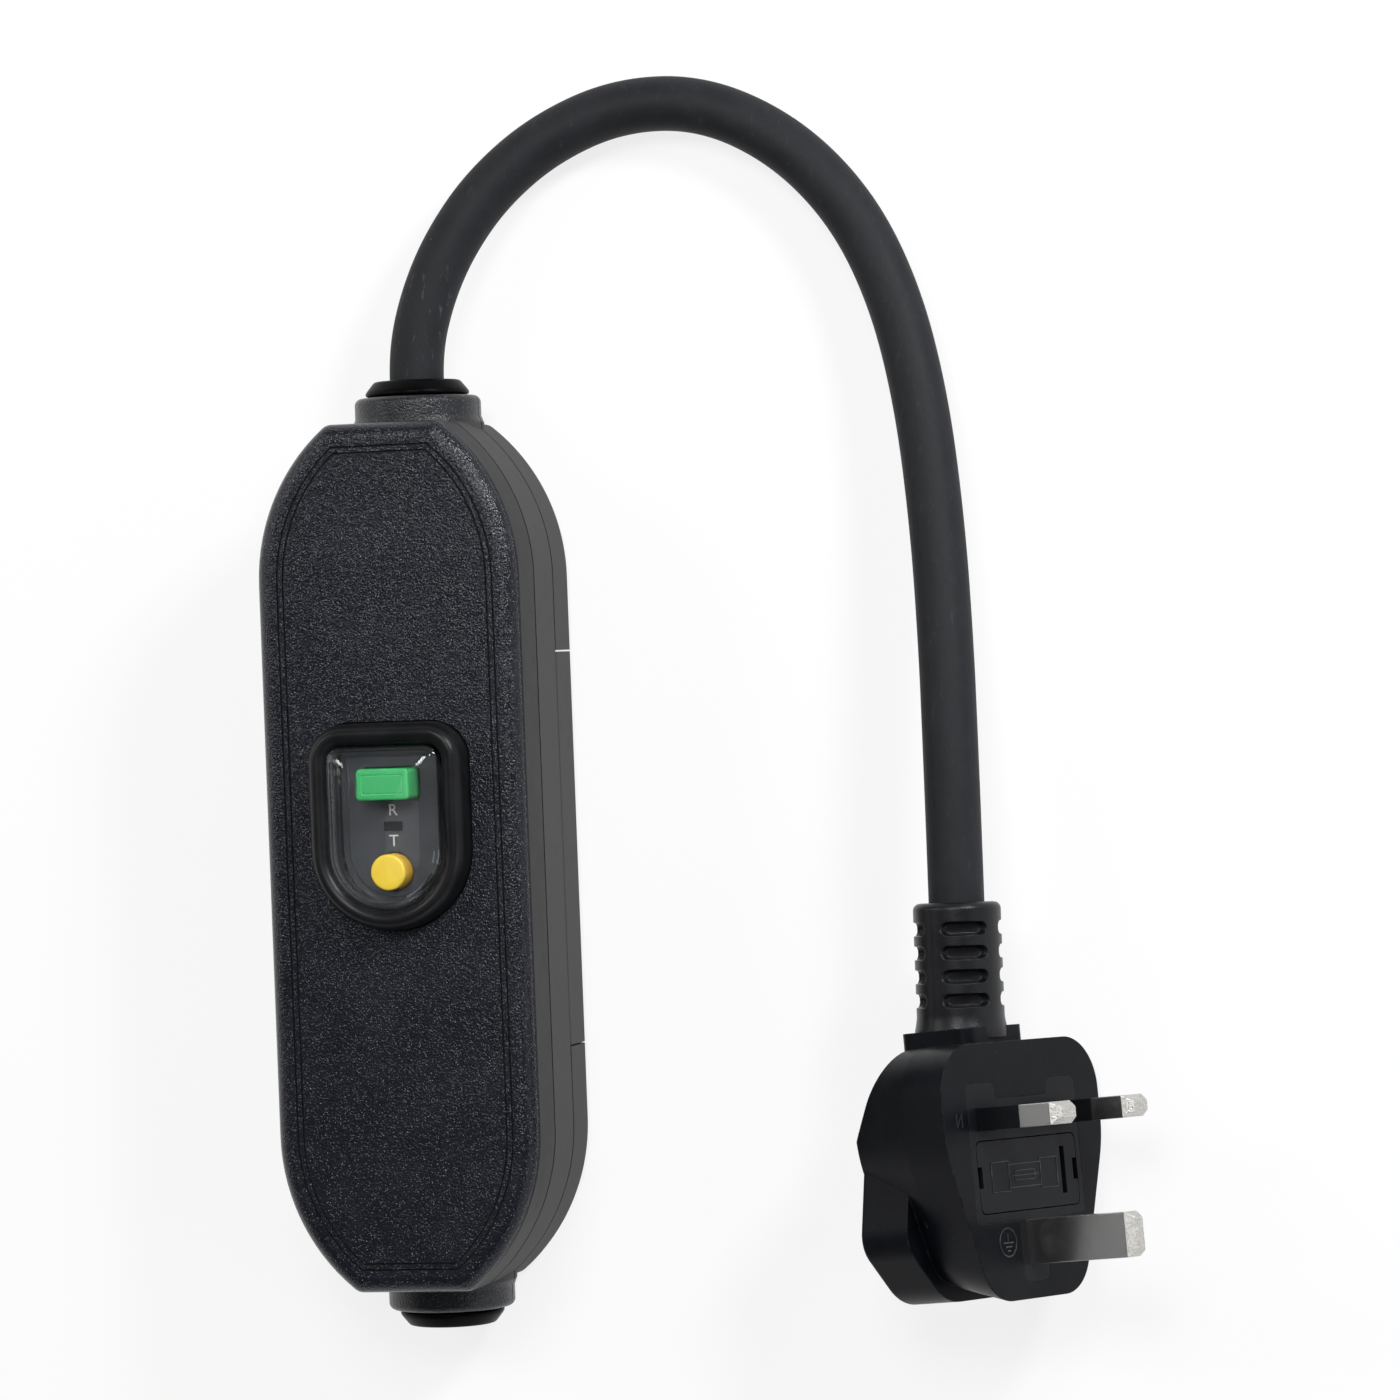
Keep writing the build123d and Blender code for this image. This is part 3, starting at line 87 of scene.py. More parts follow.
for name, (place, size, watts, colour) in lamps.items():
    data = bpy.data.lights.new(name, "AREA")
    data.shape = "RECTANGLE"
    data.size, data.size_y = size
    data.energy = watts
    data.color = colour
    lamp = addObject(name, data)
    lamp.location = place
    lamp.visible_camera = False
    lamp.rotation_euler = (lampAim - Vector(place)).to_track_quat("-Z", "Y").to_euler()

scene.view_settings.view_transform = "Standard"
print("camera and lamps placed")


class Wire:
    # One output of a material's node. Arithmetic on it adds Math nodes, also where a number comes first
    def __init__(self, tree, socket=None):
        self.tree, self.socket = tree, socket

    def node(self, kind, settings=None, sockets=None, out=0):
        # Settings first, a ramp's stops among them, then each socket's value or link
        made = self.tree.nodes.new("ShaderNode" + kind)
        for name, value in (settings or {}).items():
            if name == "stops":
                ramp = made.color_ramp
                while len(ramp.elements) < len(value):
                    ramp.elements.new(1.0)
                for element, (place, colour) in zip(ramp.elements, value):
                    element.position, element.color = place, colour
            else:
                setattr(made, name, value)
        for name, value in (sockets or {}).items():
            if isinstance(value, Wire):
                self.tree.links.new(value.socket, made.inputs[name])
            else:
                made.inputs[name].default_value = value
        return Wire(self.tree, made.outputs[out])

    def maths(self, operation, *values):
        return self.node("Math", {"operation": operation}, dict(enumerate(values)))

    def __add__(self, other):
        return self.maths("ADD", self, other)

    def __radd__(self, other):
        return self.maths("ADD", other, self)

    def __sub__(self, other):
        return self.maths("SUBTRACT", self, other)

    def __rsub__(self, other):
        return self.maths("SUBTRACT", other, self)

    def __mul__(self, other):
        return self.maths("MULTIPLY", self, other)

    def __rmul__(self, other):
        return self.maths("MULTIPLY", other, self)

    def axis(self, index):
        return self.node("SeparateXYZ", sockets={0: self}, out=index)

    def between(self, low, high):
        # 0 up to low, 1 from high, smooth between them
        limits = {"Value": self, "From Min": low, "From Max": high}
        return self.node("MapRange", {"interpolation_type": "SMOOTHSTEP"}, limits)

    def blend(self, first, second):
        # The first colour at 0, the second at 1
        return self.node("Mix", {"data_type": "RGBA"}, {"Factor": self, 6: first, 7: second}, out=2)


def startMaterial(name):
    material = bpy.data.materials.new(name)
    material.use_nodes = True
    material.node_tree.nodes.clear()
    wire = Wire(material.node_tree)
    return material, wire, wire.node("TexCoord", out=3)


def endMaterial(material, wire, sockets, shader="BsdfPrincipled"):
    surface = wire.node(shader, sockets=sockets)
    output = wire.tree.nodes.new("ShaderNodeOutputMaterial")
    wire.tree.links.new(surface.socket, output.inputs["Surface"])
    return material


def opaque(colour):
    return tuple(colour) + (1.0,)


def blotches(wire, where, size, detail=2.0, rough=0.5, stretch=None):
    # Noise whose spots are about as wide as size
    if stretch:
        where = wire.node("Mapping", sockets={"Vector": where, "Scale": stretch})
    spots = {"Vector": where, "Scale": 1 / size, "Detail": detail, "Roughness": rough}
    return wire.node("TexNoise", sockets=spots)


def flecks(wire, where, spacing, size, share):
    # Dots of that size, in a share of the cells that are spacing wide
    cells = {"Vector": where, "Scale": 1 / spacing}
    chosen = wire.node("TexVoronoi", sockets=cells, out=1).axis(0).between(1 - share, 1 - share + 0.02)
    near = 1 - wire.node("TexVoronoi", sockets=cells).between(size / spacing * 0.35, size / spacing * 0.5)
    return near * chosen


def bumped(wire, height, depth, rounded=None):
    # The normal tilted by a height whose 1 stands for that depth, from the rounded normal where there is one
    sockets = {"Height": height, "Strength": 1.0, "Distance": depth * mm}
    if rounded is not None:
        sockets["Normal"] = rounded
    return wire.node("Bump", sockets=sockets)


def roundedEdges(wire, radius):
    # The normal with its edges rounded, and how far it departs from the true one there, where wear shows
    rounded = wire.node("Bevel", {"samples": 4}, {"Radius": radius})
    straight = wire.node("NewGeometry", out=1)
    turned = 1 - wire.node("VectorMath", {"operation": "DOT_PRODUCT"}, {0: rounded, 1: straight}, out=1)
    return rounded, turned.between(0.02, 0.20)


plastics = {
    # colour and its paler tone, roughness, shine, width and depth of the grain, radius of the edges,
    # shares of wear and dust
    "bezelSatin": dict(colour=(0.0042, 0.0044, 0.0052), pale=(0.0060, 0.0062, 0.0072), rough=0.34,
                       shine=0.22, grain=0.5, depth=0.004, edge=0.2, wear=0.2, dust=0.35),
    "plateSatin": dict(colour=(0.0205, 0.0225, 0.0265), pale=(0.0250, 0.0270, 0.0315), rough=0.42,
                       shine=0.4, grain=0.35, depth=0.010, edge=0.2, wear=0.2, dust=0.25),
    "grommetRubber": dict(colour=(0.0012, 0.0012, 0.0014), pale=(0.0024, 0.0024, 0.0027), rough=0.34,
                          shine=0.05, grain=0.6, depth=0.006, edge=0.25, wear=0.6, dust=0.3),
    "sealRubber": dict(colour=(0.0020, 0.0020, 0.0022), pale=(0.0030, 0.0030, 0.0034), rough=0.60,
                       shine=0.1, grain=0.6, depth=0.010, edge=0.1, wear=0.0, dust=0.2),
    "plugSatin": dict(colour=(0.0034, 0.0038, 0.0054), pale=(0.0050, 0.0055, 0.0074), rough=0.37,
                      shine=0.08, grain=0.30, depth=0.020, edge=0.35, wear=0.5, dust=0.8),
    "bootRubber": dict(colour=(0.0044, 0.0048, 0.0062), pale=(0.0068, 0.0072, 0.0090), rough=0.33,
                       shine=0.26, grain=0.26, depth=0.045, edge=0.2, wear=0.4, dust=0.9),
    "markSatin": dict(colour=(0.0130, 0.0138, 0.0155), pale=(0.0170, 0.0178, 0.0195), rough=0.34,
                      shine=0.35, grain=0.30, depth=0.004, edge=0.05, wear=0.0, dust=0.0),
    "insertSatin": dict(colour=(0.0046, 0.0051, 0.0066), pale=(0.0068, 0.0074, 0.0092), rough=0.42,
                        shine=0.12, grain=0.30, depth=0.024, edge=0.15, wear=0.6, dust=0.7),
    "nylonWhite": dict(colour=(0.62, 0.59, 0.52), pale=(0.72, 0.70, 0.64), rough=0.48,
                       shine=0.5, grain=0.9, depth=0.03, edge=0.3, wear=0.1, dust=0.0),
    "partBlack": dict(colour=(0.013, 0.013, 0.014), pale=(0.024, 0.024, 0.026), rough=0.50,
                      shine=0.5, grain=0.3, depth=0.03, edge=0.2, wear=0.3, dust=0.2),
    "lacquerBlue": dict(colour=(0.02, 0.10, 0.32), pale=(0.04, 0.15, 0.42), rough=0.28,
                        shine=0.5, grain=1.0, depth=0.04, edge=0.3, wear=0.1, dust=0.0),
    "resinBlue": dict(colour=(0.012, 0.035, 0.15), pale=(0.02, 0.055, 0.22), rough=0.25,
                      shine=0.5, grain=2.5, depth=0.15, edge=0.4, wear=0.1, dust=0.0),
    "coreBrown": dict(colour=(0.11, 0.04, 0.016), pale=(0.17, 0.07, 0.03), rough=0.42,
                      shine=0.4, grain=1.2, depth=0.02, edge=0.1, wear=0.0, dust=0.0),
    "coreBlue": dict(colour=(0.015, 0.09, 0.36), pale=(0.03, 0.13, 0.45), rough=0.42,
                     shine=0.4, grain=1.2, depth=0.02, edge=0.1, wear=0.0, dust=0.0),
    "ceramic": dict(colour=(0.70, 0.67, 0.58), pale=(0.80, 0.78, 0.72), rough=0.55,
                    shine=0.5, grain=0.6, depth=0.03, edge=0.2, wear=0.1, dust=0.0),
}
plasticLook = {
    "clouds": 7, "haze": 2.6, "rubs": 1.6,              # widths of the spots of each
    "dustEvery": 3.0, "dustSize": 0.16, "dustShare": 0.45,
    "dustColour": (0.40, 0.40, 0.38),
}


def mouldedPlastic(name, spec, look):
    # Two close tones in soft clouds, a fine grain in the bump, a hazier gloss in places, rubbed edges and
    # pale flecks of dust
    material, wire, where = startMaterial(name)
    clouds = blotches(wire, where, look["clouds"] * mm, 3.0, 0.6).between(0.35, 0.68)
    grain = blotches(wire, where, spec["grain"] * mm, 2.0, 0.6)
    haze = blotches(wire, where, look["haze"] * mm, 4.0, 0.7).between(0.50, 0.80)
    rounded, worn = roundedEdges(wire, spec["edge"] * mm)
    rubbed = worn * blotches(wire, where, look["rubs"] * mm, 4.0, 0.7).between(0.40, 0.62) * spec["wear"]
    dusty = look["dustShare"] * spec["dust"]
    dots = flecks(wire, where, look["dustEvery"] * mm, look["dustSize"] * mm, dusty) * 0.35
    tone = clouds.blend(opaque(spec["colour"]), opaque(spec["pale"]))
    tone = (0.16 * rubbed + dots).blend(tone, opaque(look["dustColour"]))
    rough = spec["rough"] + 0.05 * clouds + 0.09 * haze + 0.08 * rubbed - 0.04 * grain
    return endMaterial(material, wire, {"Base Color": tone, "Roughness": rough,
                                        "Specular IOR Level": spec["shine"],
                                        "Normal": bumped(wire, grain, spec["depth"], rounded)})


caseLooks = {
    # grained face and collars, its paler tone, and the smooth matt wall; the rear half is paler
    "sparkGrain": dict(colour=(0.0038, 0.0046, 0.0084), pale=(0.0062, 0.0074, 0.0122),
                       wall=(0.0040, 0.0040, 0.0043), rough=0.18, shine=0.36),
    "rearGrain": dict(colour=(0.0080, 0.0086, 0.0110), pale=(0.0105, 0.0112, 0.0140),
                      wall=(0.0340, 0.0328, 0.0328), rough=0.28, shine=0.38),
}
grainLook = {
    "grain": 0.34, "depth": 0.15,                       # width and depth of the fine grain
    # the glint colour is a painted glint on the glinting points, and also faintly pales worn edges
    "glintEvery": 0.50, "paintedGlintAndWear": (0.135, 0.145, 0.165), "glintRough": 0.14,
    "grooves": (36.14, 36.30),                          # a level place is in a groove up to the first height
    "grooveRough": 0.5, "edge": 0.06,
    "crown": 0.0010,                                    # fall of the face per square mm from its middle line
    "face": (33.4, 34.4),                               # heights over which the wall becomes the face
    "collar": (78.4, 78.9),                             # and distances along the case, for the collars
    # painted shade on the walls: the heights over which they darken towards the face, how much, and to what
    # colour
    "shade": (25, 34), "paintedShadeShare": 0.6, "paintedShadeColour": (0.0015, 0.0015, 0.0018),
    # the seams' dark colour, also painted into the grooves' floors as shade
    "seams": (24.0, 11.6), "seamHalf": (0.26, 0.50), "seamAndGrooveShade": (0.0015, 0.0015, 0.0016),
    "clouds": 9, "haze": 3.0,
    "dustEvery": 4.5, "dustSize": 0.20, "dustShare": 0.35, "dustColour": (0.50, 0.50, 0.48),
}


def grainedCase(name, spec, grain):
    # Fine grain with glinting points, as of metal, over the face, its rim and the collars. The points' paler
    # colour is a painted glint, and worn edges are paled a little with it. The face is a little crowned and
    # its grooves are darkened as painted shade. The walls are smooth and matt, darker towards the face as
    # painted shade, and dark along the seams
    material, wire, where = startMaterial(name)
    height = where.axis(2)
    cells = {"Vector": where, "Scale": 1 / (grain["glintEvery"] * mm)}
    away = wire.node("TexVoronoi", sockets=cells)
    lot = wire.node("TexVoronoi", sockets=cells, out=1).axis(0)
    fine = blotches(wire, where, grain["grain"] * mm, 1.0, 0.5)
    face = height.between(*(part * mm for part in grain["face"]))
    collar = wire.maths("ABSOLUTE", where.axis(1)).between(*(part * mm for part in grain["collar"]))
    grained = wire.maths("MAXIMUM", face, collar)
    clouds = blotches(wire, where, grain["clouds"] * mm, 3.0, 0.6).between(0.35, 0.70)
    haze = blotches(wire, where, grain["haze"] * mm, 4.0, 0.7).between(0.50, 0.80)
    rounded, worn = roundedEdges(wire, grain["edge"] * mm)
    level = wire.node("NewGeometry", out=1).axis(2).between(0.90, 0.94)
    # painted shade: the level floors of the face's grooves are darkened
    shadedGroove = face * level * (1 - height.between(*(part * mm for part in grain["grooves"])))
    glints = (1 - away.between(0.12, 0.30)) * lot.between(0.05, 0.85) * grained
    dots = flecks(wire, where, grain["dustEvery"] * mm, grain["dustSize"] * mm, grain["dustShare"]) * 0.5
    # painted shade: the wall grows darker towards the face
    shade = grain["paintedShadeShare"] * height.between(*(part * mm for part in grain["shade"]))
    wall = clouds.blend(opaque(spec["wall"]), opaque(part * 1.15 for part in spec["wall"]))
    wall = shade.blend(wall, opaque(grain["paintedShadeColour"]))
    tone = grained.blend(wall, clouds.blend(opaque(spec["colour"]), opaque(spec["pale"])))
    # painted glint: the glinting points take the paler glint colour, and worn edges a little of it
    tone = (0.85 * glints + 0.10 * worn * haze).blend(tone, opaque(grain["paintedGlintAndWear"]))
    # painted shade darkens the grooves' floors, then the pale dust flecks go on
    tone = shadedGroove.blend(dots.blend(tone, opaque(grain["dustColour"])), opaque(grain["seamAndGrooveShade"]))
    for seam in grain["seams"]:
        off = wire.maths("ABSOLUTE", height - seam * mm)
        near = 1 - off.between(*(part * mm for part in grain["seamHalf"]))
        tone = (near * (1 - collar)).blend(tone, opaque(grain["seamAndGrooveShade"]))
    rough = spec["rough"] + 0.40 * (1 - grained) + 0.03 * clouds + 0.06 * haze
    rough = rough + grain["glintRough"] * glints + grain["grooveRough"] * shadedGroove
    relief = (fine + 0.5 * glints) * (0.05 + 0.95 * grained) * (1 - 0.8 * worn)
    side = where.axis(0) * (1 / mm)
    crown = face * side * side * (-grain["crown"] / grain["depth"])
    return endMaterial(material, wire, {"Base Color": tone, "Metallic": 0.7 * glints, "Roughness": rough,
                                        "Specular IOR Level": spec["shine"],
                                        "Normal": bumped(wire, relief + crown, grain["depth"], rounded)})


metals = {
    # colour and its stain, roughness, share of stains, stretch of the drawing marks
    "zincSteel": dict(colour=(0.52, 0.53, 0.54), stain=(0.36, 0.36, 0.37), rough=0.28, dull=1.0, drawn=None),
    "drawnSteel": dict(colour=(0.50, 0.50, 0.50), stain=(0.38, 0.37, 0.35), rough=0.24, dull=1.0, drawn=None),
    "stampedBrass": dict(colour=(0.70, 0.47, 0.18), stain=(0.48, 0.30, 0.11), rough=0.30, dull=1.0,
                         drawn=(1, 0.1, 1)),
}
metalLook = {"marks": 0.16, "stains": 3.0, "edge": 0.25, "depth": 0.006}  # widths, radius of the edges, depth


def metalMarks(wire, where, spec):
    # Fine marks along the way it was drawn, dull stains, the tone they give, and the edges
    marks = blotches(wire, where, metalLook["marks"] * mm, 3.0, 0.7, spec["drawn"])
    stains = blotches(wire, where, metalLook["stains"] * mm, 5.0, 0.7).between(0.46, 0.74) * spec["dull"]
    tone = stains.blend(opaque(spec["colour"]), opaque(spec["stain"]))
    return marks, stains, tone, roundedEdges(wire, metalLook["edge"] * mm)


def endMetal(material, wire, tone, rough, relief, rounded):
    bump = bumped(wire, relief, metalLook["depth"], rounded)
    return endMaterial(material, wire, {"Base Color": tone, "Metallic": 1.0, "Roughness": rough, "Normal": bump})


def plainMetal(name, spec):
    # Marks and stains, duller along the edges
    material, wire, where = startMaterial(name)
    marks, stains, tone, (rounded, worn) = metalMarks(wire, where, spec)
    rough = spec["rough"] + 0.10 * marks + 0.14 * stains + 0.15 * worn
    return endMetal(material, wire, tone, rough, marks + 0.5 * stains, rounded)


capLook = {
    "colour": (0.98, 0.99, 0.995), "rough": 0.02, "shadow": (0.92, 0.93, 0.93), "bending": 1.42,
    "rub": 0.12, "rubs": 0.9,                           # how much rougher a rub mark is, and its width
    "wave": 6, "waveDepth": 0.05,
}


def clearCap(spec):
    # Clear flexible vinyl, hazed by rub marks, that lets the light of the lamps through to the buttons
    material, wire, where = startMaterial("clearCap")
    rubs = blotches(wire, where, spec["rubs"] * mm, 4.0, 0.75).between(0.60, 0.85)
    wave = blotches(wire, where, spec["wave"] * mm, 1.0, 0.5)
    rough = spec["rough"] + spec["rub"] * rubs
    film = wire.node("BsdfPrincipled", sockets={
        "Base Color": opaque(spec["colour"]), "Roughness": rough, "IOR": spec["bending"],
        "Transmission Weight": 1.0, "Normal": bumped(wire, wave, spec["waveDepth"])})
    through = wire.node("BsdfTransparent", sockets={"Color": opaque(spec["shadow"])})
    shadowRay = wire.node("LightPath", out=1)
    return endMaterial(material, wire, {0: shadowRay, 1: film, 2: through}, "MixShader")


pinNickel = dict(colour=(0.78, 0.77, 0.75), stain=(0.56, 0.54, 0.50), rough=0.17, dull=0.35, drawn=(0.12, 1, 0.3))
tips = {"mains": 15.9, "earth": 20.9}  # where the cut tips of the pins begin, out from the plug's face
tipLook = {"stain": (0.42, 0.41, 0.38), "rough": 0.42, "speck": 0.35}


def pinMetal(name, spec, look, face, start):
    # Bright nickel on the flats. The cut tip is duller, speckled and worn, past its distance along the
    # face's normal
    material, wire, where = startMaterial(name)
    normal = face.col[2].to_3d()
    along = wire.node("VectorMath", {"operation": "DOT_PRODUCT"}, {0: where, 1: tuple(normal)}, out=1)
    tip = (along - face.translation.dot(normal)).between((start - 0.15) * mm, (start + 0.05) * mm)
    specks = blotches(wire, where, look["speck"] * mm, 3.0, 0.7).between(0.42, 0.62)
    marks, stains, tone, (rounded, worn) = metalMarks(wire, where, spec)
    tone = (tip * (0.35 + 0.65 * specks)).blend(tone, opaque(look["stain"]))
    rough = spec["rough"] + 0.08 * marks + 0.14 * stains
    rough = rough + tip * (look["rough"] - spec["rough"]) - 0.12 * (tip * specks) + 0.1 * worn
    relief = 0.4 * marks * (1 - tip) + 4.0 * (tip * specks)
    return endMetal(material, wire, tone, rough, relief, rounded)


keys = {
    # the top's colour, the sides' darker as painted shade, the edges' paler as a painted highlight, and how far
    # each part of the light goes in
    "resetGreen": dict(colour=(0.014, 0.23, 0.064), deep=(0.008, 0.18, 0.046), rim=(0.05, 0.44, 0.17),
                       glow=(0.1, 0.9, 0.3)),
    "testYellow": dict(colour=(0.48, 0.345, 0.014), deep=(0.42, 0.20, 0.005), rim=(0.60, 0.46, 0.05),
                       glow=(1.0, 0.7, 0.1)),
}
keyLook = {"sides": (37, 41), "clouds": 2.5, "grain": 0.25, "edge": 0.22, "depth": 0.006, "sinks": 1.2}


def keyPlastic(name, spec, look):
    # Coloured plastic that light sinks into a little, with its sides darkened as painted shade and its edges
    # paled as a painted highlight
    material, wire, where = startMaterial(name)
    low = 1 - where.axis(2).between(*(part * mm for part in look["sides"]))
    clouds = blotches(wire, where, look["clouds"] * mm, 3.0, 0.6).between(0.3, 0.7)
    grain = blotches(wire, where, look["grain"] * mm, 2.0, 0.5)
    rounded, worn = roundedEdges(wire, look["edge"] * mm)
    # painted shade darkens the sides below the top; a painted highlight then pales the edges
    tone = (0.7 * low + 0.12 * clouds).blend(opaque(spec["colour"]), opaque(spec["deep"]))
    tone = (0.7 * worn).blend(tone, opaque(spec["rim"]))
    return endMaterial(material, wire, {"Base Color": tone, "Roughness": 0.36 + 0.08 * clouds,
                                        "Normal": bumped(wire, grain, look["depth"], rounded),
                                        "Subsurface Weight": 0.25, "Subsurface Radius": spec["glow"],
                                        "Subsurface Scale": look["sinks"] * mm})


finishes = {name: mouldedPlastic(name, spec, plasticLook) for name, spec in plastics.items()}
finishes.update({name: plainMetal(name, spec) for name, spec in metals.items()})
finishes.update({name: keyPlastic(name, spec, keyLook) for name, spec in keys.items()})
finishes.update({name: grainedCase(name, spec, grainLook) for name, spec in caseLooks.items()})
finishes["clearCap"] = clearCap(capLook)
print("finishes made:", len(finishes))

wears = {
    "sparkGrain": ["front_cover"],
    "rearGrain": ["rear_shell", "inlet_terminal_cover", "outlet_terminal_cover"],
    "plateSatin": ["button_plate"],
    "sealRubber": ["case_seal", "inlet_cable_tail"],
    "plugSatin": ["plug_body"],
    "insertSatin": ["plug_insert", "fuse_carrier", "live_pin_sleeve", "neutral_pin_sleeve"],
    "nylonWhite": ["mechanism_frame", "contact_carrier", "inlet_cord_clamp", "outlet_cord_clamp"],
    "partBlack": ["smoothing_capacitor", "control_chip"],
    "lacquerBlue": ["surge_varistor", "test_resistor"],
    "resinBlue": ["current_transformer"],
    "coreBrown": ["live_core"],
    "coreBlue": ["neutral_core", "load_conductors"],
    "ceramic": ["fuse_link"],
    "zincSteel": ["case_screws", "terminal_cover_screws", "cord_clamp_screws", "trip_yoke", "trip_plunger",
                  "terminal_screws"],
    "drawnSteel": ["reset_spring", "test_spring", "fuse_clips", "fuse_caps"],
    "stampedBrass": ["moving_contacts", "fixed_contacts", "test_contact", "supply_terminals",
                     "load_terminals", "earth_bar"],
}


def dress(piece, material):
    piece.data.materials.clear()
    piece.data.materials.append(material)


for finish, names in wears.items():
    for name in names:
        dress(nodes[name], finishes[finish])


def closedShell(points, looped):
    # Quads join ring i to ring i + 1, place j to j + 1. A looped shell joins its last ring to its first,
    # any other has a face over each end. The faces are turned outwards by the sign of the volume.
    rings, around = points.shape[:2]
    ring = np.arange(rings if looped else rings - 1)[:, None]
    place = np.arange(around)[None, :]
    here, above = ring * around, (ring + 1) % rings * around
    beside = (place + 1) % around
    quads = np.stack([here + place, here + beside, above + beside, above + place], axis=-1).reshape(-1, 4)
    flat = points.reshape(-1, 3)
    a, b, c, d = (flat[quads[:, k]] for k in range(4))
    volume = np.einsum("ij,ij->i", a, np.cross(b, c) + np.cross(c, d)).sum()
    faces = quads.tolist()
    if not looped:
        ends = [list(range(around))[::-1], list(range((rings - 1) * around, rings * around))]
        for end in ends:
            corner = flat[end]
            hub = corner[:1].repeat(around - 2, 0)
            volume += np.einsum("ij,ij->i", hub, np.cross(corner[1:-1], corner[2:])).sum()
        faces += ends
    if volume < 0:
        faces = [face[::-1] for face in faces]
    return flat, faces


def newPiece(name, shells, body, stands, finish, sharp=40):
    # One mesh of several closed shells, riding on a body and standing for its CAD node
    places, faces, count = [], [], 0
    for points, looped in shells:
        flat, made = closedShell(np.asarray(points), looped)
        faces += [[corner + count for corner in face] for face in made]
        places.append(flat)
        count += len(flat)
    mesh = bpy.data.meshes.new(name)
    mesh.from_pydata(np.concatenate(places).tolist(), [], faces)
    mesh.shade_smooth()
    mesh.set_sharp_from_angle(angle=math.radians(sharp))
    piece = addObject(name, mesh)
    dress(piece, finish)
    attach(piece, body)
    if stands:
        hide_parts(stands)
    return piece


def outline(arcs, least=0.8, steps=14):
    # Arcs of (centre x, centre y, radius, first angle, last angle, push x, push y), joined by straight runs.
    # Where one ends just where the next starts, the point is kept once
    spread = np.linspace(0, 1, steps)
    made = {"centre": [], "push": [], "radius": [], "way": []}
    for x, y, radius, first, last, pushX, pushY in arcs:
        angle = np.radians(first + (last - first) * spread)
        made["way"].append(np.stack([np.cos(angle), np.sin(angle)], axis=-1))
        made["centre"].append(np.tile((x, y), (steps, 1)))
        made["push"].append(np.tile((pushX, pushY), (steps, 1)))
        made["radius"].append(np.full(steps, radius))
    shape = {key: np.concatenate(value) for key, value in made.items()}
    spots = shape["centre"] + shape["way"] * shape["radius"][:, None]
    single = np.linalg.norm(spots - np.roll(spots, 1, axis=0), axis=1) > 0.001
    return {**{key: value[single] for key, value in shape.items()}, "least": least}


def carried(shape, profile):
    # A profile of (growth, height) carried round the outline: centre + way x (radius + growth). A corner
    # keeps its least radius, and past that its centre moves in along its push
    growth, height = (np.asarray(part)[:, None] for part in zip(*profile))
    grown = shape["radius"][None, :] + growth
    kept = np.maximum(grown, shape["least"])
    flat = shape["centre"] + shape["push"] * (grown - kept)[..., None] + shape["way"] * kept[..., None]
    return np.concatenate([flat, np.broadcast_to(height[..., None], grown.shape + (1,))], axis=-1) * mm


def quarter(start, end, steps=8, bulge=1.0):
    # A quarter of an ellipse from start to end that leaves start along the second axis: 1 - cosine across,
    # sine to the power of bulge along
    angle = np.linspace(0, math.pi / 2, steps)
    across, along = 1 - np.cos(angle), np.sin(angle) ** bulge
    wide, tall = end[0] - start[0], end[1] - start[1]
    return [(start[0] + wide * a, start[1] + tall * b) for a, b in zip(across, along)]


window = {
    # half width, upper edge, corner radius, and the middle of the foot's round
    "half": 14.6, "top": 24.4, "corner": 6.8, "foot": 1.6,
    # the bead's heights, its width, how far in its crest is, and how full its round is
    "seat": 35.9, "wall": 38.2, "crest": 42.1, "inner": 39.8, "ring": 3.95, "crestAt": 1.95, "bulge": 0.92,
    # the cap: its slack in the bead, its heights, its rim, its shoulder, and the crease pressed into it
    "slack": 0.04, "capSeat": 35.1, "flange": 2.4, "rim": 41.9, "rimRound": 0.45, "ledge": 0.3, "capTop": 43.8,
    "shoulder": 5.2, "crease": 0.8, "creaseDepth": 0.07, "creaseWidth": 0.12, "film": 0.65,
    "crown": 0.35, "middle": 5.7,                       # rise of its open middle, and where along the case
}


def windowOutline(spec):
    x, y = spec["half"] - spec["corner"], spec["top"] - spec["corner"]
    return outline([
        (x, y, spec["corner"], 0, 90, 1, 1), (-x, y, spec["corner"], 90, 180, -1, 1),
        (0, spec["foot"], spec["half"], 180, 270, 0, 0), (0, spec["foot"], spec["half"], 270, 360, 0, 0),
    ])


def bezelProfile(spec):
    # Straight walls under a bead: a tall quarter ellipse outside, a lower one inside
    crest = (-spec["crestAt"], spec["crest"])
    inside = -spec["ring"] + spec["slack"]
    rise = quarter((0, spec["wall"]), crest, 12, spec["bulge"])
    fall = quarter((inside, spec["inner"]), crest, 9, spec["bulge"])[::-1]
    return [(0, spec["seat"])] + rise + fall[1:] + [(inside, spec["seat"])]


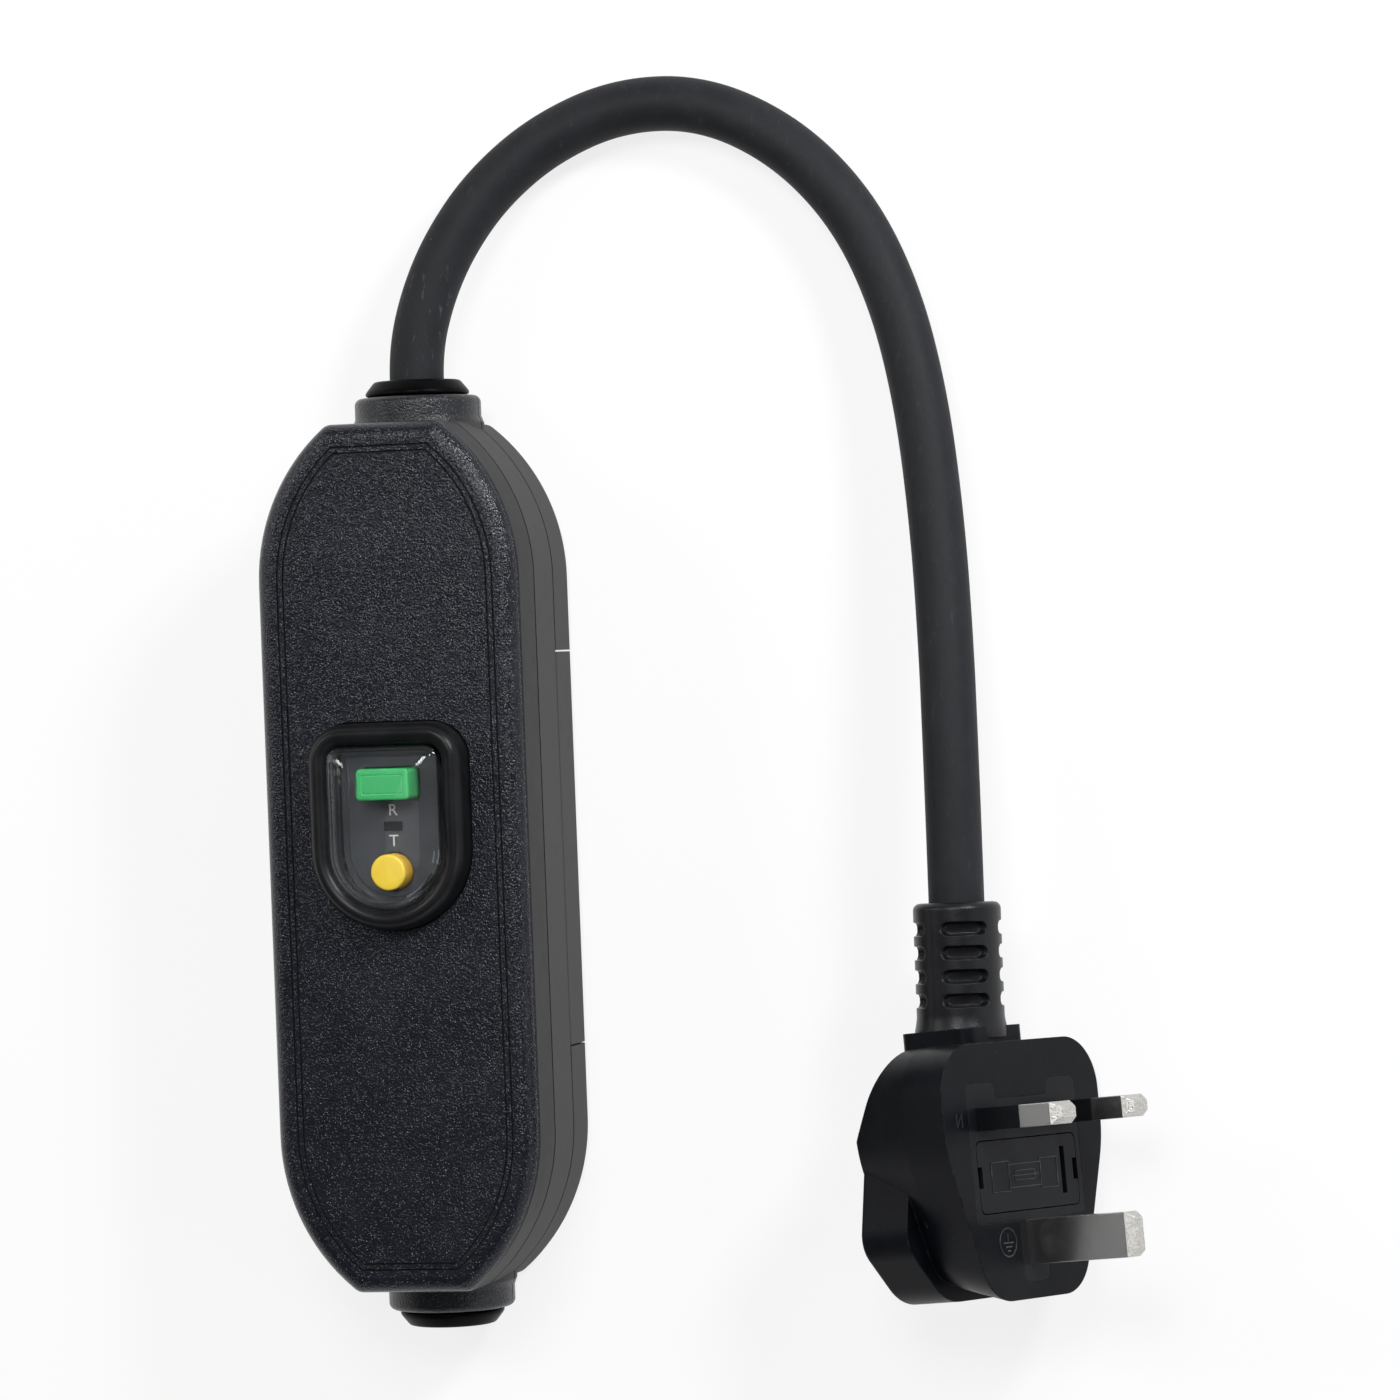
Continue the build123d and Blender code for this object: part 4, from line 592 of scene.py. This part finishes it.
def capProfile(spec):
    # From inside down to the flange, then up the outside over a round rim and a broad soft shoulder: half a
    # parabola, less a fine crease that is a bell curve across it
    edge = -spec["ring"] - spec["slack"]
    step = edge - spec["ledge"]
    rim = quarter((edge, spec["rim"] - spec["rimRound"]), (step, spec["rim"]), 7)
    share = np.linspace(0, 1, 44)
    across = spec["shoulder"] * share
    rise = (spec["capTop"] - spec["rim"]) * (1 - (1 - share) ** 2)
    rise = rise - spec["creaseDepth"] * np.exp(-((across - spec["crease"]) / spec["creaseWidth"]) ** 2)
    shoulder = list(zip(step - across, spec["rim"] + rise))
    outside = [(edge, spec["seat"])] + rim + shoulder[1:]
    inside = [(x - spec["film"] * 0.4, z - spec["film"]) for x, z in shoulder[::3]]
    inside = [(edge - spec["film"], spec["capSeat"]), (edge - spec["film"], spec["rim"] - 1.0)] + inside
    flange = [(-spec["flange"], spec["capSeat"]), (-spec["flange"], spec["seat"])]
    return inside[::-1] + flange + outside


def crowned(points, spec):
    # The open middle at both ends of the shell is filled with smaller and smaller rings, on a crown that
    # rises by 1 less the square of a ring's share
    part = np.cos(np.linspace(0, math.pi / 2, 9))[1:, None, None]
    middle = np.array([0, spec["middle"] * mm, 0])

    def shrunk(ring):
        flat = middle + (ring - middle) * part
        flat[..., 2] = ring[..., 2] + spec["crown"] * mm * (1 - part[..., 0] ** 2)
        return flat[:-1]

    return np.concatenate([shrunk(points[0])[::-1], points, shrunk(points[-1])])


windowShape = windowOutline(window)
bead = carried(windowShape, bezelProfile(window))
dome = crowned(carried(windowShape, capProfile(window)), window)
newPiece("windowBead", [(bead, True)], "adapter", "window_bezel", finishes["bezelSatin"])
newPiece("clearDome", [(dome, False)], "adapter", "window_membrane", finishes["clearCap"], sharp=60)
print("bead and clear dome made")

buttons = {
    "reset": dict(half=(4.95, 2.85), corner=0.9, middle=13.4, top=42.2, edge=0.45, line=1.05, flange=1.1,
                  stem=2.0, stemFoot=16.8, travel=2.5),
    "test": dict(half=(3.25, 3.25), corner=3.25, middle=-2.4, top=40.6, edge=0.40, line=None, flange=1.2,
                 stem=1.5, stemFoot=22.8, travel=1.5),
}
flangeSpan = (30.0, 31.6)
pressedLine = ((0, 0), (0.06, 0.10), (0.20, 0.10), (0.26, 0))  # steps in from where the line starts, drops


def buttonShells(spec):
    # A flange, straight sides and a soft edge, with a fine line round the reset button's top, on a round stem
    x, y = (part - spec["corner"] for part in spec["half"])
    middle = spec["middle"]
    arcs = [(i * x, middle + j * y, spec["corner"], start, start + 90, i, j)
            for i, j, start in ((1, 1, 0), (-1, 1, 90), (-1, -1, 180), (1, -1, 270))]
    shape = outline(arcs, least=0.3)
    low, high = flangeSpan
    edge = quarter((0, spec["top"] - spec["edge"]), (-spec["edge"], spec["top"]), 7)
    profile = [(spec["flange"], low), (spec["flange"], high), (0, high), (0, high + 2.0)] + edge
    if spec["line"]:
        profile += [(-spec["line"] - step, spec["top"] - drop) for step, drop in pressedLine]
        profile.append((-spec["line"] - 0.8, spec["top"]))
    else:
        profile += [(-spec["corner"] * part, spec["top"] - 0.02 * part) for part in (0.4, 0.7, 0.9)]
    stem = outline([(0, middle, spec["stem"], start, start + 90, 0, 0) for start in (0, 90, 180, 270)])
    stemProfile = [(0, spec["stemFoot"]), (0, low + 0.05)]
    return [(carried(shape, profile), False), (carried(stem, stemProfile), False)]


resetShells, testShells = (buttonShells(buttons[key]) for key in ("reset", "test"))
newPiece("resetKey", resetShells, "reset", "reset_button", finishes["resetGreen"])
newPiece("testKey", testShells, "test", "test_button", finishes["testYellow"])

# Each button's spring, from the frame's deck up to the flange, gets a mesh of its own
for key in buttons:
    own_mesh(nodes[key + "_spring"])

marks = {
    "height": 2.15, "level": 36.2, "thick": 0.03, "capital": 0.72,  # and a capital's share of the font's size
    "letters": {"R": (0.0, 8.75), "T": (0.0, 3.2)},
}
paintColour = (0.46, 0.43, 0.39)


def paintedLetter(letter, place, spec):
    # A flat letter, made a mesh and laid on the plate
    data = bpy.data.curves.new("mark" + letter, "FONT")
    data.body = letter
    data.size = spec["height"] / spec["capital"] * mm
    data.extrude = spec["thick"] / 2 * mm
    data.align_x = "CENTER"
    draft = bpy.data.objects.new("draft" + letter, data)
    mesh = bpy.data.meshes.new_from_object(draft)
    foot, level = place[1] - spec["height"] / 2, spec["level"] + spec["thick"] / 2
    mesh.transform(Matrix.Translation((place[0] * mm, foot * mm, level * mm)))
    bpy.data.objects.remove(draft)
    return addObject("mark" + letter, mesh)


def padInk(name, colour):
    # Thin pad-printed paint, patchy at its edges
    material, wire, where = startMaterial(name)
    patches = blotches(wire, where, 0.35 * mm, 3.0, 0.7).between(0.35, 0.75)
    tone = patches.blend(opaque(part * 0.85 for part in colour), opaque(colour))
    return endMaterial(material, wire, {"Base Color": tone, "Roughness": 0.5 + 0.1 * patches})


ink = padInk("padInk", paintColour)
for letter, place in marks["letters"].items():
    mark = paintedLetter(letter, place, marks)
    dress(mark, ink)
    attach(mark, "adapter")

grommets = {
    "bore": {"inlet": 5.05, "outlet": 5.2}, "axis": 11.6,
    # (radius, distance along the case) from the shoulder inside to the tip
    "profile": [(9.1, 77.9), (9.1, 80.5), (7.14, 80.5), (7.14, 83.78), (9.15, 83.98), (9.42, 84.08),
                (9.54, 84.3), (9.5, 84.6), (9.2, 85.05), (8.15, 86.35), (7.9, 86.58), (7.5, 86.7)],
    "mouth": 0.45,
}


def turnedShell(profile, axis, flip=1, steps=96):
    # (radius, y) points turned about the line x = 0, z = axis
    radius, along = (np.asarray(part)[:, None] for part in zip(*profile))
    angle = np.linspace(0, 2 * math.pi, steps, endpoint=False)[None, :]
    along = np.broadcast_to(flip * along, (len(radius), steps))
    return np.stack([radius * np.cos(angle), along, axis + radius * np.sin(angle)], axis=-1) * mm


for end, flip in (("inlet", 1), ("outlet", -1)):
    bore, soft = grommets["bore"][end], grommets["mouth"]
    shoulder, tip = grommets["profile"][0][1], grommets["profile"][-1][1]
    mouth = [(bore + soft, tip), (bore + 0.12, tip - 0.13), (bore, tip - soft), (bore, shoulder)]
    shell = turnedShell(grommets["profile"] + mouth, grommets["axis"], flip)
    newPiece(end + "Gland", [(shell, True)], "adapter", end + "_grommet", finishes["grommetRubber"])
print("glands made")

cordRoute = {
    "points": [
        (0.0, 86.7, 11.6), (0.0, 92.4, 11.6), (2.6, 102.6, 10.8), (7.0, 112.2, 9.4), (14.0, 121.8, 7.4),
        (24.6, 130.2, 5.8), (38.6, 135.6, 5.0), (54.4, 135.2, 5.0), (69.6, 127.4, 5.0), (81.6, 114.6, 5.6),
        (89.4, 98.4, 7.2), (94.2, 79.0, 9.6), (97.0, 56.0, 12.7), (98.4, 34.0, 15.8), (98.9, 18.2, 17.7),
        (99.2, 3.0, 18.9), (99.3, -11.5, 19.4),
    ],
    "diameter": 10.0 * mm,
    "colour": (0.0112, 0.0118, 0.0140),
    "pale": (0.0155, 0.0162, 0.0188),
    "scuff": (0.095, 0.097, 0.100),
    "scuffAlong": (85, 88, 94, 112), "scuffAcross": (20, 30),  # where scuffs fade in and out, in y and in x
    "patches": 8, "pits": 0.30, "streaks": 1.3, "depth": 0.05,
    "dustEvery": 5, "dustSize": 0.22, "dustShare": 0.3, "dustColour": (0.4, 0.4, 0.38),
}


def rubberSheath(spec):
    # Matt sheath: chalky patches, fine pits, and pale rubbed streaks where it leaves the gland
    material, wire, where = startMaterial("rubberSheath")
    patches = blotches(wire, where, spec["patches"] * mm, 5.0, 0.65).between(0.36, 0.70)
    pits = blotches(wire, where, spec["pits"] * mm, 3.0, 0.7)
    streaks = blotches(wire, where, spec["streaks"] * mm, 5.0, 0.75, (1, 0.25, 1)).between(0.57, 0.70)
    begin, full, fade, end = (part * mm for part in spec["scuffAlong"])
    nearGland = where.axis(1).between(begin, full) * (1 - where.axis(1).between(fade, end))
    ownSide = 1 - where.axis(0).between(*(part * mm for part in spec["scuffAcross"]))
    rubbed = streaks * (0.12 + 0.75 * (nearGland * ownSide))
    tone = rubbed.blend(patches.blend(opaque(spec["colour"]), opaque(spec["pale"])), opaque(spec["scuff"]))
    dots = flecks(wire, where, spec["dustEvery"] * mm, spec["dustSize"] * mm, spec["dustShare"]) * 0.5
    tone = dots.blend(tone, opaque(spec["dustColour"]))
    return endMaterial(material, wire, {"Base Color": tone, "Roughness": 0.54 + 0.10 * patches,
                                        "Specular IOR Level": 0.18,
                                        "Normal": bumped(wire, pits + 0.5 * patches, spec["depth"])})


def layCord(spec):
    # A smooth spline with the route's points as its control points, and a round section
    data = bpy.data.curves.new("flexCord", "CURVE")
    data.dimensions = "3D"
    data.bevel_depth = spec["diameter"] / 2
    data.bevel_resolution = 12
    data.resolution_u = 14
    data.use_fill_caps = True
    spline = data.splines.new("NURBS")
    spline.points.add(len(spec["points"]) - 1)
    weights = np.ones((len(spec["points"]), 1))
    spline.points.foreach_set("co", np.hstack([np.array(spec["points"]) * mm, weights]).ravel())
    spline.order_u = 3
    spline.use_endpoint_u = True
    data.materials.append(rubberSheath(spec))
    return addObject("flexCord", data)


def splineLength(curve):
    # The length of the spline itself, from a copy with no section
    bare = curve.copy()
    bare.data = curve.data.copy()
    bare.data.bevel_depth = 0
    mesh = bpy.data.meshes.new_from_object(bare)
    places = np.empty(len(mesh.vertices) * 3)
    mesh.vertices.foreach_get("co", places)
    bpy.data.objects.remove(bare)
    return float(np.linalg.norm(np.diff(places.reshape(-1, 3), axis=0), axis=1).sum())


flexCord = layCord(cordRoute)
cordLength = splineLength(flexCord)
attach(flexCord, "adapter")
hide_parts("cord")
print("cord laid, length in mm:", round(cordLength / mm, 1))

plug = {"tilt": 23.5, "lean": 4.0, "bootLength": 22.6, "bootDepth": 11.6, "pinsBelow": 2.9 + 13.4}
boot = {
    "radius": 7.85, "mouth": 1.3, "flare": 0.4, "flareFrom": 20.0, "sunk": 1.5, "around": 256, "rings": 230,
    "slotHalf": 4.0, "slotRound": 1.05, "slotSoft": 0.22, "slotFloor": 5.65,
    "firstSlot": 4.6, "slotPitch": 4.25, "slotRows": 4,
    "partingWidth": 0.16, "partingHeight": 0.09,
    "lip": [(5.0, 0.4), (5.3, 0.4), (5.4, 0.08)],       # (radius, height) inside the mouth, round the cord
}


def cordEnd(route, spec):
    # The frame at the strain relief's mouth: z along the cord, x along the pins
    before, end = Vector(route[-2]), Vector(route[-1])
    heading = (end - before).normalized()
    level = Vector((0, 0, 1)).cross(heading).normalized()
    turn = Matrix((level, heading.cross(level), heading)).transposed().to_4x4()
    return Matrix.Translation(end * mm) @ turn @ Matrix.Rotation(math.radians(spec["tilt"]), 4, "Z")


def pinLine(mouth, spec):
    # The frame of the plug's face: x towards neutral, y towards the earth pin, z out along the pins
    lean = Matrix.Rotation(math.radians(spec["lean"]), 4, "Y")
    out = Matrix.Translation(Vector((0, 0, spec["bootLength"])) * mm) @ lean
    face = Matrix(((0, 0, 1), (1, 0, 0), (0, 1, 0))).to_4x4()
    return mouth @ out @ Matrix.Translation(Vector((spec["bootDepth"], 0, spec["pinsBelow"])) * mm) @ face


def bootShell(spec, length):
    # radius(angle, height) of a round sleeve: a soft mouth and a flared foot, less a soft-edged slot floor
    # four times round in each row, plus a fine parting ridge on two sides
    height = (np.linspace(0, 1, spec["rings"]) * (length + spec["sunk"]))[:, None]
    angle = np.linspace(0, 2 * math.pi, spec["around"], endpoint=False)[None, :]
    mouth = np.clip(1 - height / spec["mouth"], 0, 1)
    flare = np.clip((height - spec["flareFrom"]) / (length - spec["flareFrom"]), 0, 1)
    radius = spec["radius"] - spec["mouth"] * (1 - np.sqrt(1 - mouth ** 2)) + spec["flare"] * flare ** 1.5
    turn = (angle + math.pi) % (math.pi / 2) - math.pi / 4
    rows = spec["firstSlot"] + spec["slotPitch"] * np.arange(spec["slotRows"])
    above = np.abs(height - rows[None, :]).min(axis=1)[:, None]
    past = np.maximum(np.abs(spec["radius"] * np.sin(turn)) - spec["slotHalf"] + spec["slotRound"], 0)
    gap = np.hypot(past, above) - spec["slotRound"]
    soft = np.clip((spec["slotSoft"] - gap) / (2 * spec["slotSoft"]), 0, 1)
    cut = soft ** 2 * (3 - 2 * soft)
    radius = radius - cut * (radius - spec["slotFloor"] / np.cos(turn))
    side = spec["radius"] * np.cos(angle)
    radius = radius + spec["partingHeight"] * np.exp(-(side / spec["partingWidth"]) ** 2) * (1 - cut)
    lip = np.array(spec["lip"])
    radius = np.concatenate([np.broadcast_to(lip[:, :1], (len(lip), spec["around"])), radius])
    height = np.broadcast_to(np.concatenate([lip[:, 1:], height]), radius.shape)
    return np.stack([radius * np.cos(angle), radius * np.sin(angle), height], axis=-1) * mm


def placed(points, spot):
    turn = np.array(spot)
    return points @ turn[:3, :3].T + turn[:3, 3]


mouthSpot = cordEnd(cordRoute["points"], plug)
plugSpot = pinLine(mouthSpot, plug)
for name, kind in (("live_pin", "mains"), ("neutral_pin", "mains"), ("earth_pin", "earth")):
    dress(nodes[name], pinMetal(kind + "Nickel", pinNickel, tipLook, plugSpot, tips[kind]))
sleeve = placed(bootShell(boot, plug["bootLength"]), mouthSpot)
strainRelief = newPiece("strainRelief", [(sleeve, False)], "adapter", "plug_boot",
                        finishes["bootRubber"])

earthRing = {"middle": (8.1, 21.9), "radius": 2.5, "steps": 24}
raised = {
    # body, slot, finish, radius of the bead, and runs of (x, y) in the frame of the plug's face
    "neutralMark": ("adapter", "plug_plastic", "markSatin", 0.17, [
        [(18.5, 1.15), (18.5, -1.35), (20.1, 1.15), (20.1, -1.35)],
    ]),
    "earthMark": ("adapter", "insert_plastic", "markSatin", 0.16, [
        [(earthRing["middle"][0] + earthRing["radius"] * math.cos(turn / earthRing["steps"] * math.tau),
          earthRing["middle"][1] + earthRing["radius"] * math.sin(turn / earthRing["steps"] * math.tau))
         for turn in range(earthRing["steps"] + 1)],
        [(8.1, 20.3), (8.1, 22.0)], [(6.6, 22.0), (9.6, 22.0)],
        [(7.15, 22.7), (9.05, 22.7)], [(7.65, 23.4), (8.55, 23.4)],
    ]),
    "fuseMark": ("fuse_holder", "insert_plastic", "markSatin", 0.13, [
        [(-8.9, 7.7), (-8.9, 13.0), (-3.7, 13.0), (-3.7, 7.7), (-8.9, 7.7)],
        [(5.9, 7.7), (5.9, 13.0), (11.1, 13.0), (11.1, 7.7), (5.9, 7.7)],
        [(-3.7, 8.3), (5.9, 8.3)], [(-3.7, 12.4), (5.9, 12.4)],
        [(-1.9, 9.5), (-1.9, 11.2), (4.1, 11.2), (4.1, 9.5), (-1.9, 9.5)], [(-3.0, 10.35), (5.2, 10.35)],
    ]),
}


def raisedLines(name, lines, radius, spot):
    # Thin round beads half sunk in the face, along straight runs
    data = bpy.data.curves.new(name, "CURVE")
    data.dimensions = "3D"
    data.bevel_depth = radius * mm
    data.bevel_resolution = 2
    data.use_fill_caps = True
    for line in lines:
        spline = data.splines.new("POLY")
        spline.points.add(len(line) - 1)
        spline.points.foreach_set("co", np.array([(x * mm, y * mm, 0.0, 1.0) for x, y in line]).ravel())
    draft = bpy.data.objects.new(name + "Draft", data)
    mesh = bpy.data.meshes.new_from_object(draft)
    mesh.transform(spot)
    bpy.data.objects.remove(draft)
    return addObject(name, mesh)


for name, (body, slot, finish, radius, lines) in raised.items():
    mark = raisedLines(name, lines, radius, plugSpot)
    dress(mark, finishes[finish])
    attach(mark, body)

print("strain relief and the plug's marks made")

insides = {
    "copper": (0.72, 0.30, 0.12), "darkCopperAndShade": (0.30, 0.10, 0.04), "wirePitch": 0.35, "wireDepth": 0.06,
    "mask": (0.012, 0.14, 0.050), "track": (0.022, 0.24, 0.085), "trackSpan": 2.4, "trackDepth": 0.03,
    "flagRed": (0.55, 0.018, 0.012), "flagBlack": (0.010, 0.010, 0.011), "flagSplit": 4.5,
    "earthGreen": (0.030, 0.27, 0.045), "earthYellow": (0.78, 0.66, 0.03), "earthSplit": 0.25,
}


def woundCopper(spec):
    # Turns of enamelled wire side by side: a wave along the coil's length, in the bump and as painted shade
    # darkening the valleys between turns
    material, wire, where = startMaterial("woundCopper")
    turns = wire.maths("SINE", where.axis(1) * (math.tau / (spec["wirePitch"] * mm)))
    lay = blotches(wire, where, 1.5 * mm, 3.0)
    # painted shade in the valleys between turns, with some random darker tone from the lay
    tone = (0.5 - 0.4 * turns + 0.3 * lay).blend(opaque(spec["copper"]), opaque(spec["darkCopperAndShade"]))
    return endMaterial(material, wire, {"Base Color": tone, "Metallic": 1.0, "Roughness": 0.28 + 0.1 * lay,
                                        "Normal": bumped(wire, turns, spec["wireDepth"])})


def solderMask(spec):
    # Green lacquer over tracks: the edges of large square cells stand up a little and are paler
    material, wire, where = startMaterial("solderMask")
    cells = {"Vector": where, "Scale": 1 / (spec["trackSpan"] * mm)}
    settings = {"distance": "CHEBYCHEV", "feature": "F1"}
    island = wire.node("TexVoronoi", settings, cells).between(0.30, 0.34)
    haze = blotches(wire, where, 5 * mm, 3.0)
    tone = island.blend(opaque(spec["mask"]), opaque(spec["track"]))
    return endMaterial(material, wire, {"Base Color": tone, "Roughness": 0.30 + 0.12 * haze,
                                        "Normal": bumped(wire, island, spec["trackDepth"])})


def twoTone(name, axis, split, low, high, rough):
    # One colour below the split along an axis and another above it
    material, wire, where = startMaterial(name)
    grain = blotches(wire, where, 0.4 * mm)
    side = where.axis(axis).between((split - 0.02) * mm, (split + 0.02) * mm)
    return endMaterial(material, wire, {"Base Color": side.blend(opaque(low), opaque(high)),
                                        "Roughness": rough + 0.08 * grain,
                                        "Normal": bumped(wire, grain, 0.01)})


dress(nodes["trip_coil"], woundCopper(insides))
dress(nodes["circuit_board"], solderMask(insides))
flag = twoTone("flagTwoTone", 1, insides["flagSplit"], insides["flagRed"], insides["flagBlack"], 0.35)
dress(nodes["indicator_flag"], flag)
sheath = twoTone("earthSheath", 0, insides["earthSplit"], insides["earthGreen"], insides["earthYellow"], 0.42)
dress(nodes["earth_core"], sheath)
print("insides dressed")

studio = {
    "floor": (0.88, 0.88, 0.88), "span": 6, "whiten": 0.80,
    "sky": [(0.0, 0.96), (0.08, 0.92), (0.18, 0.42), (0.40, 0.22), (0.75, 0.10)],  # sine of the elevation, grey
    "skyTint": (1.0, 1.01, 1.04),
}


def paleFloor(spec):
    # White card, seen partly as plain white, also in gloss and through the clear cap, so that a soft
    # shadow stays
    material, wire, where = startMaterial("paleFloor")
    card = wire.node("BsdfDiffuse", sockets={"Color": opaque(spec["floor"])})
    white = wire.node("Emission", sockets={"Color": (1.0, 1.0, 1.0, 1.0), "Strength": 1.0})
    camera, glossy, through = (wire.node("LightPath", out=index) for index in (0, 3, 6))
    seen = wire.maths("MINIMUM", camera + glossy + through, 1.0)
    return endMaterial(material, wire, {0: seen * spec["whiten"], 1: card, 2: white}, "MixShader")


bpy.ops.mesh.primitive_plane_add(size=studio["span"])
floor = bpy.context.object
floor.name = "floor"
dress(floor, paleFloor(studio))


def softSky(spec):
    # White round the horizon and dim overhead
    world = bpy.data.worlds.new("studioSky")
    world.use_nodes = True
    world.node_tree.nodes.clear()
    wire = Wire(world.node_tree)
    rise = wire.node("TexCoord").axis(2)
    stops = [(height, opaque(grey * part for part in spec["skyTint"])) for height, grey in spec["sky"]]
    shade = wire.node("ValToRGB", {"stops": stops}, {0: rise})
    light = wire.node("Background", sockets={"Color": shade, "Strength": 1.0})
    output = world.node_tree.nodes.new("ShaderNodeOutputWorld")
    world.node_tree.links.new(light.socket, output.inputs["Surface"])
    scene.world = world


softSky(studio)
print("floor and sky made")
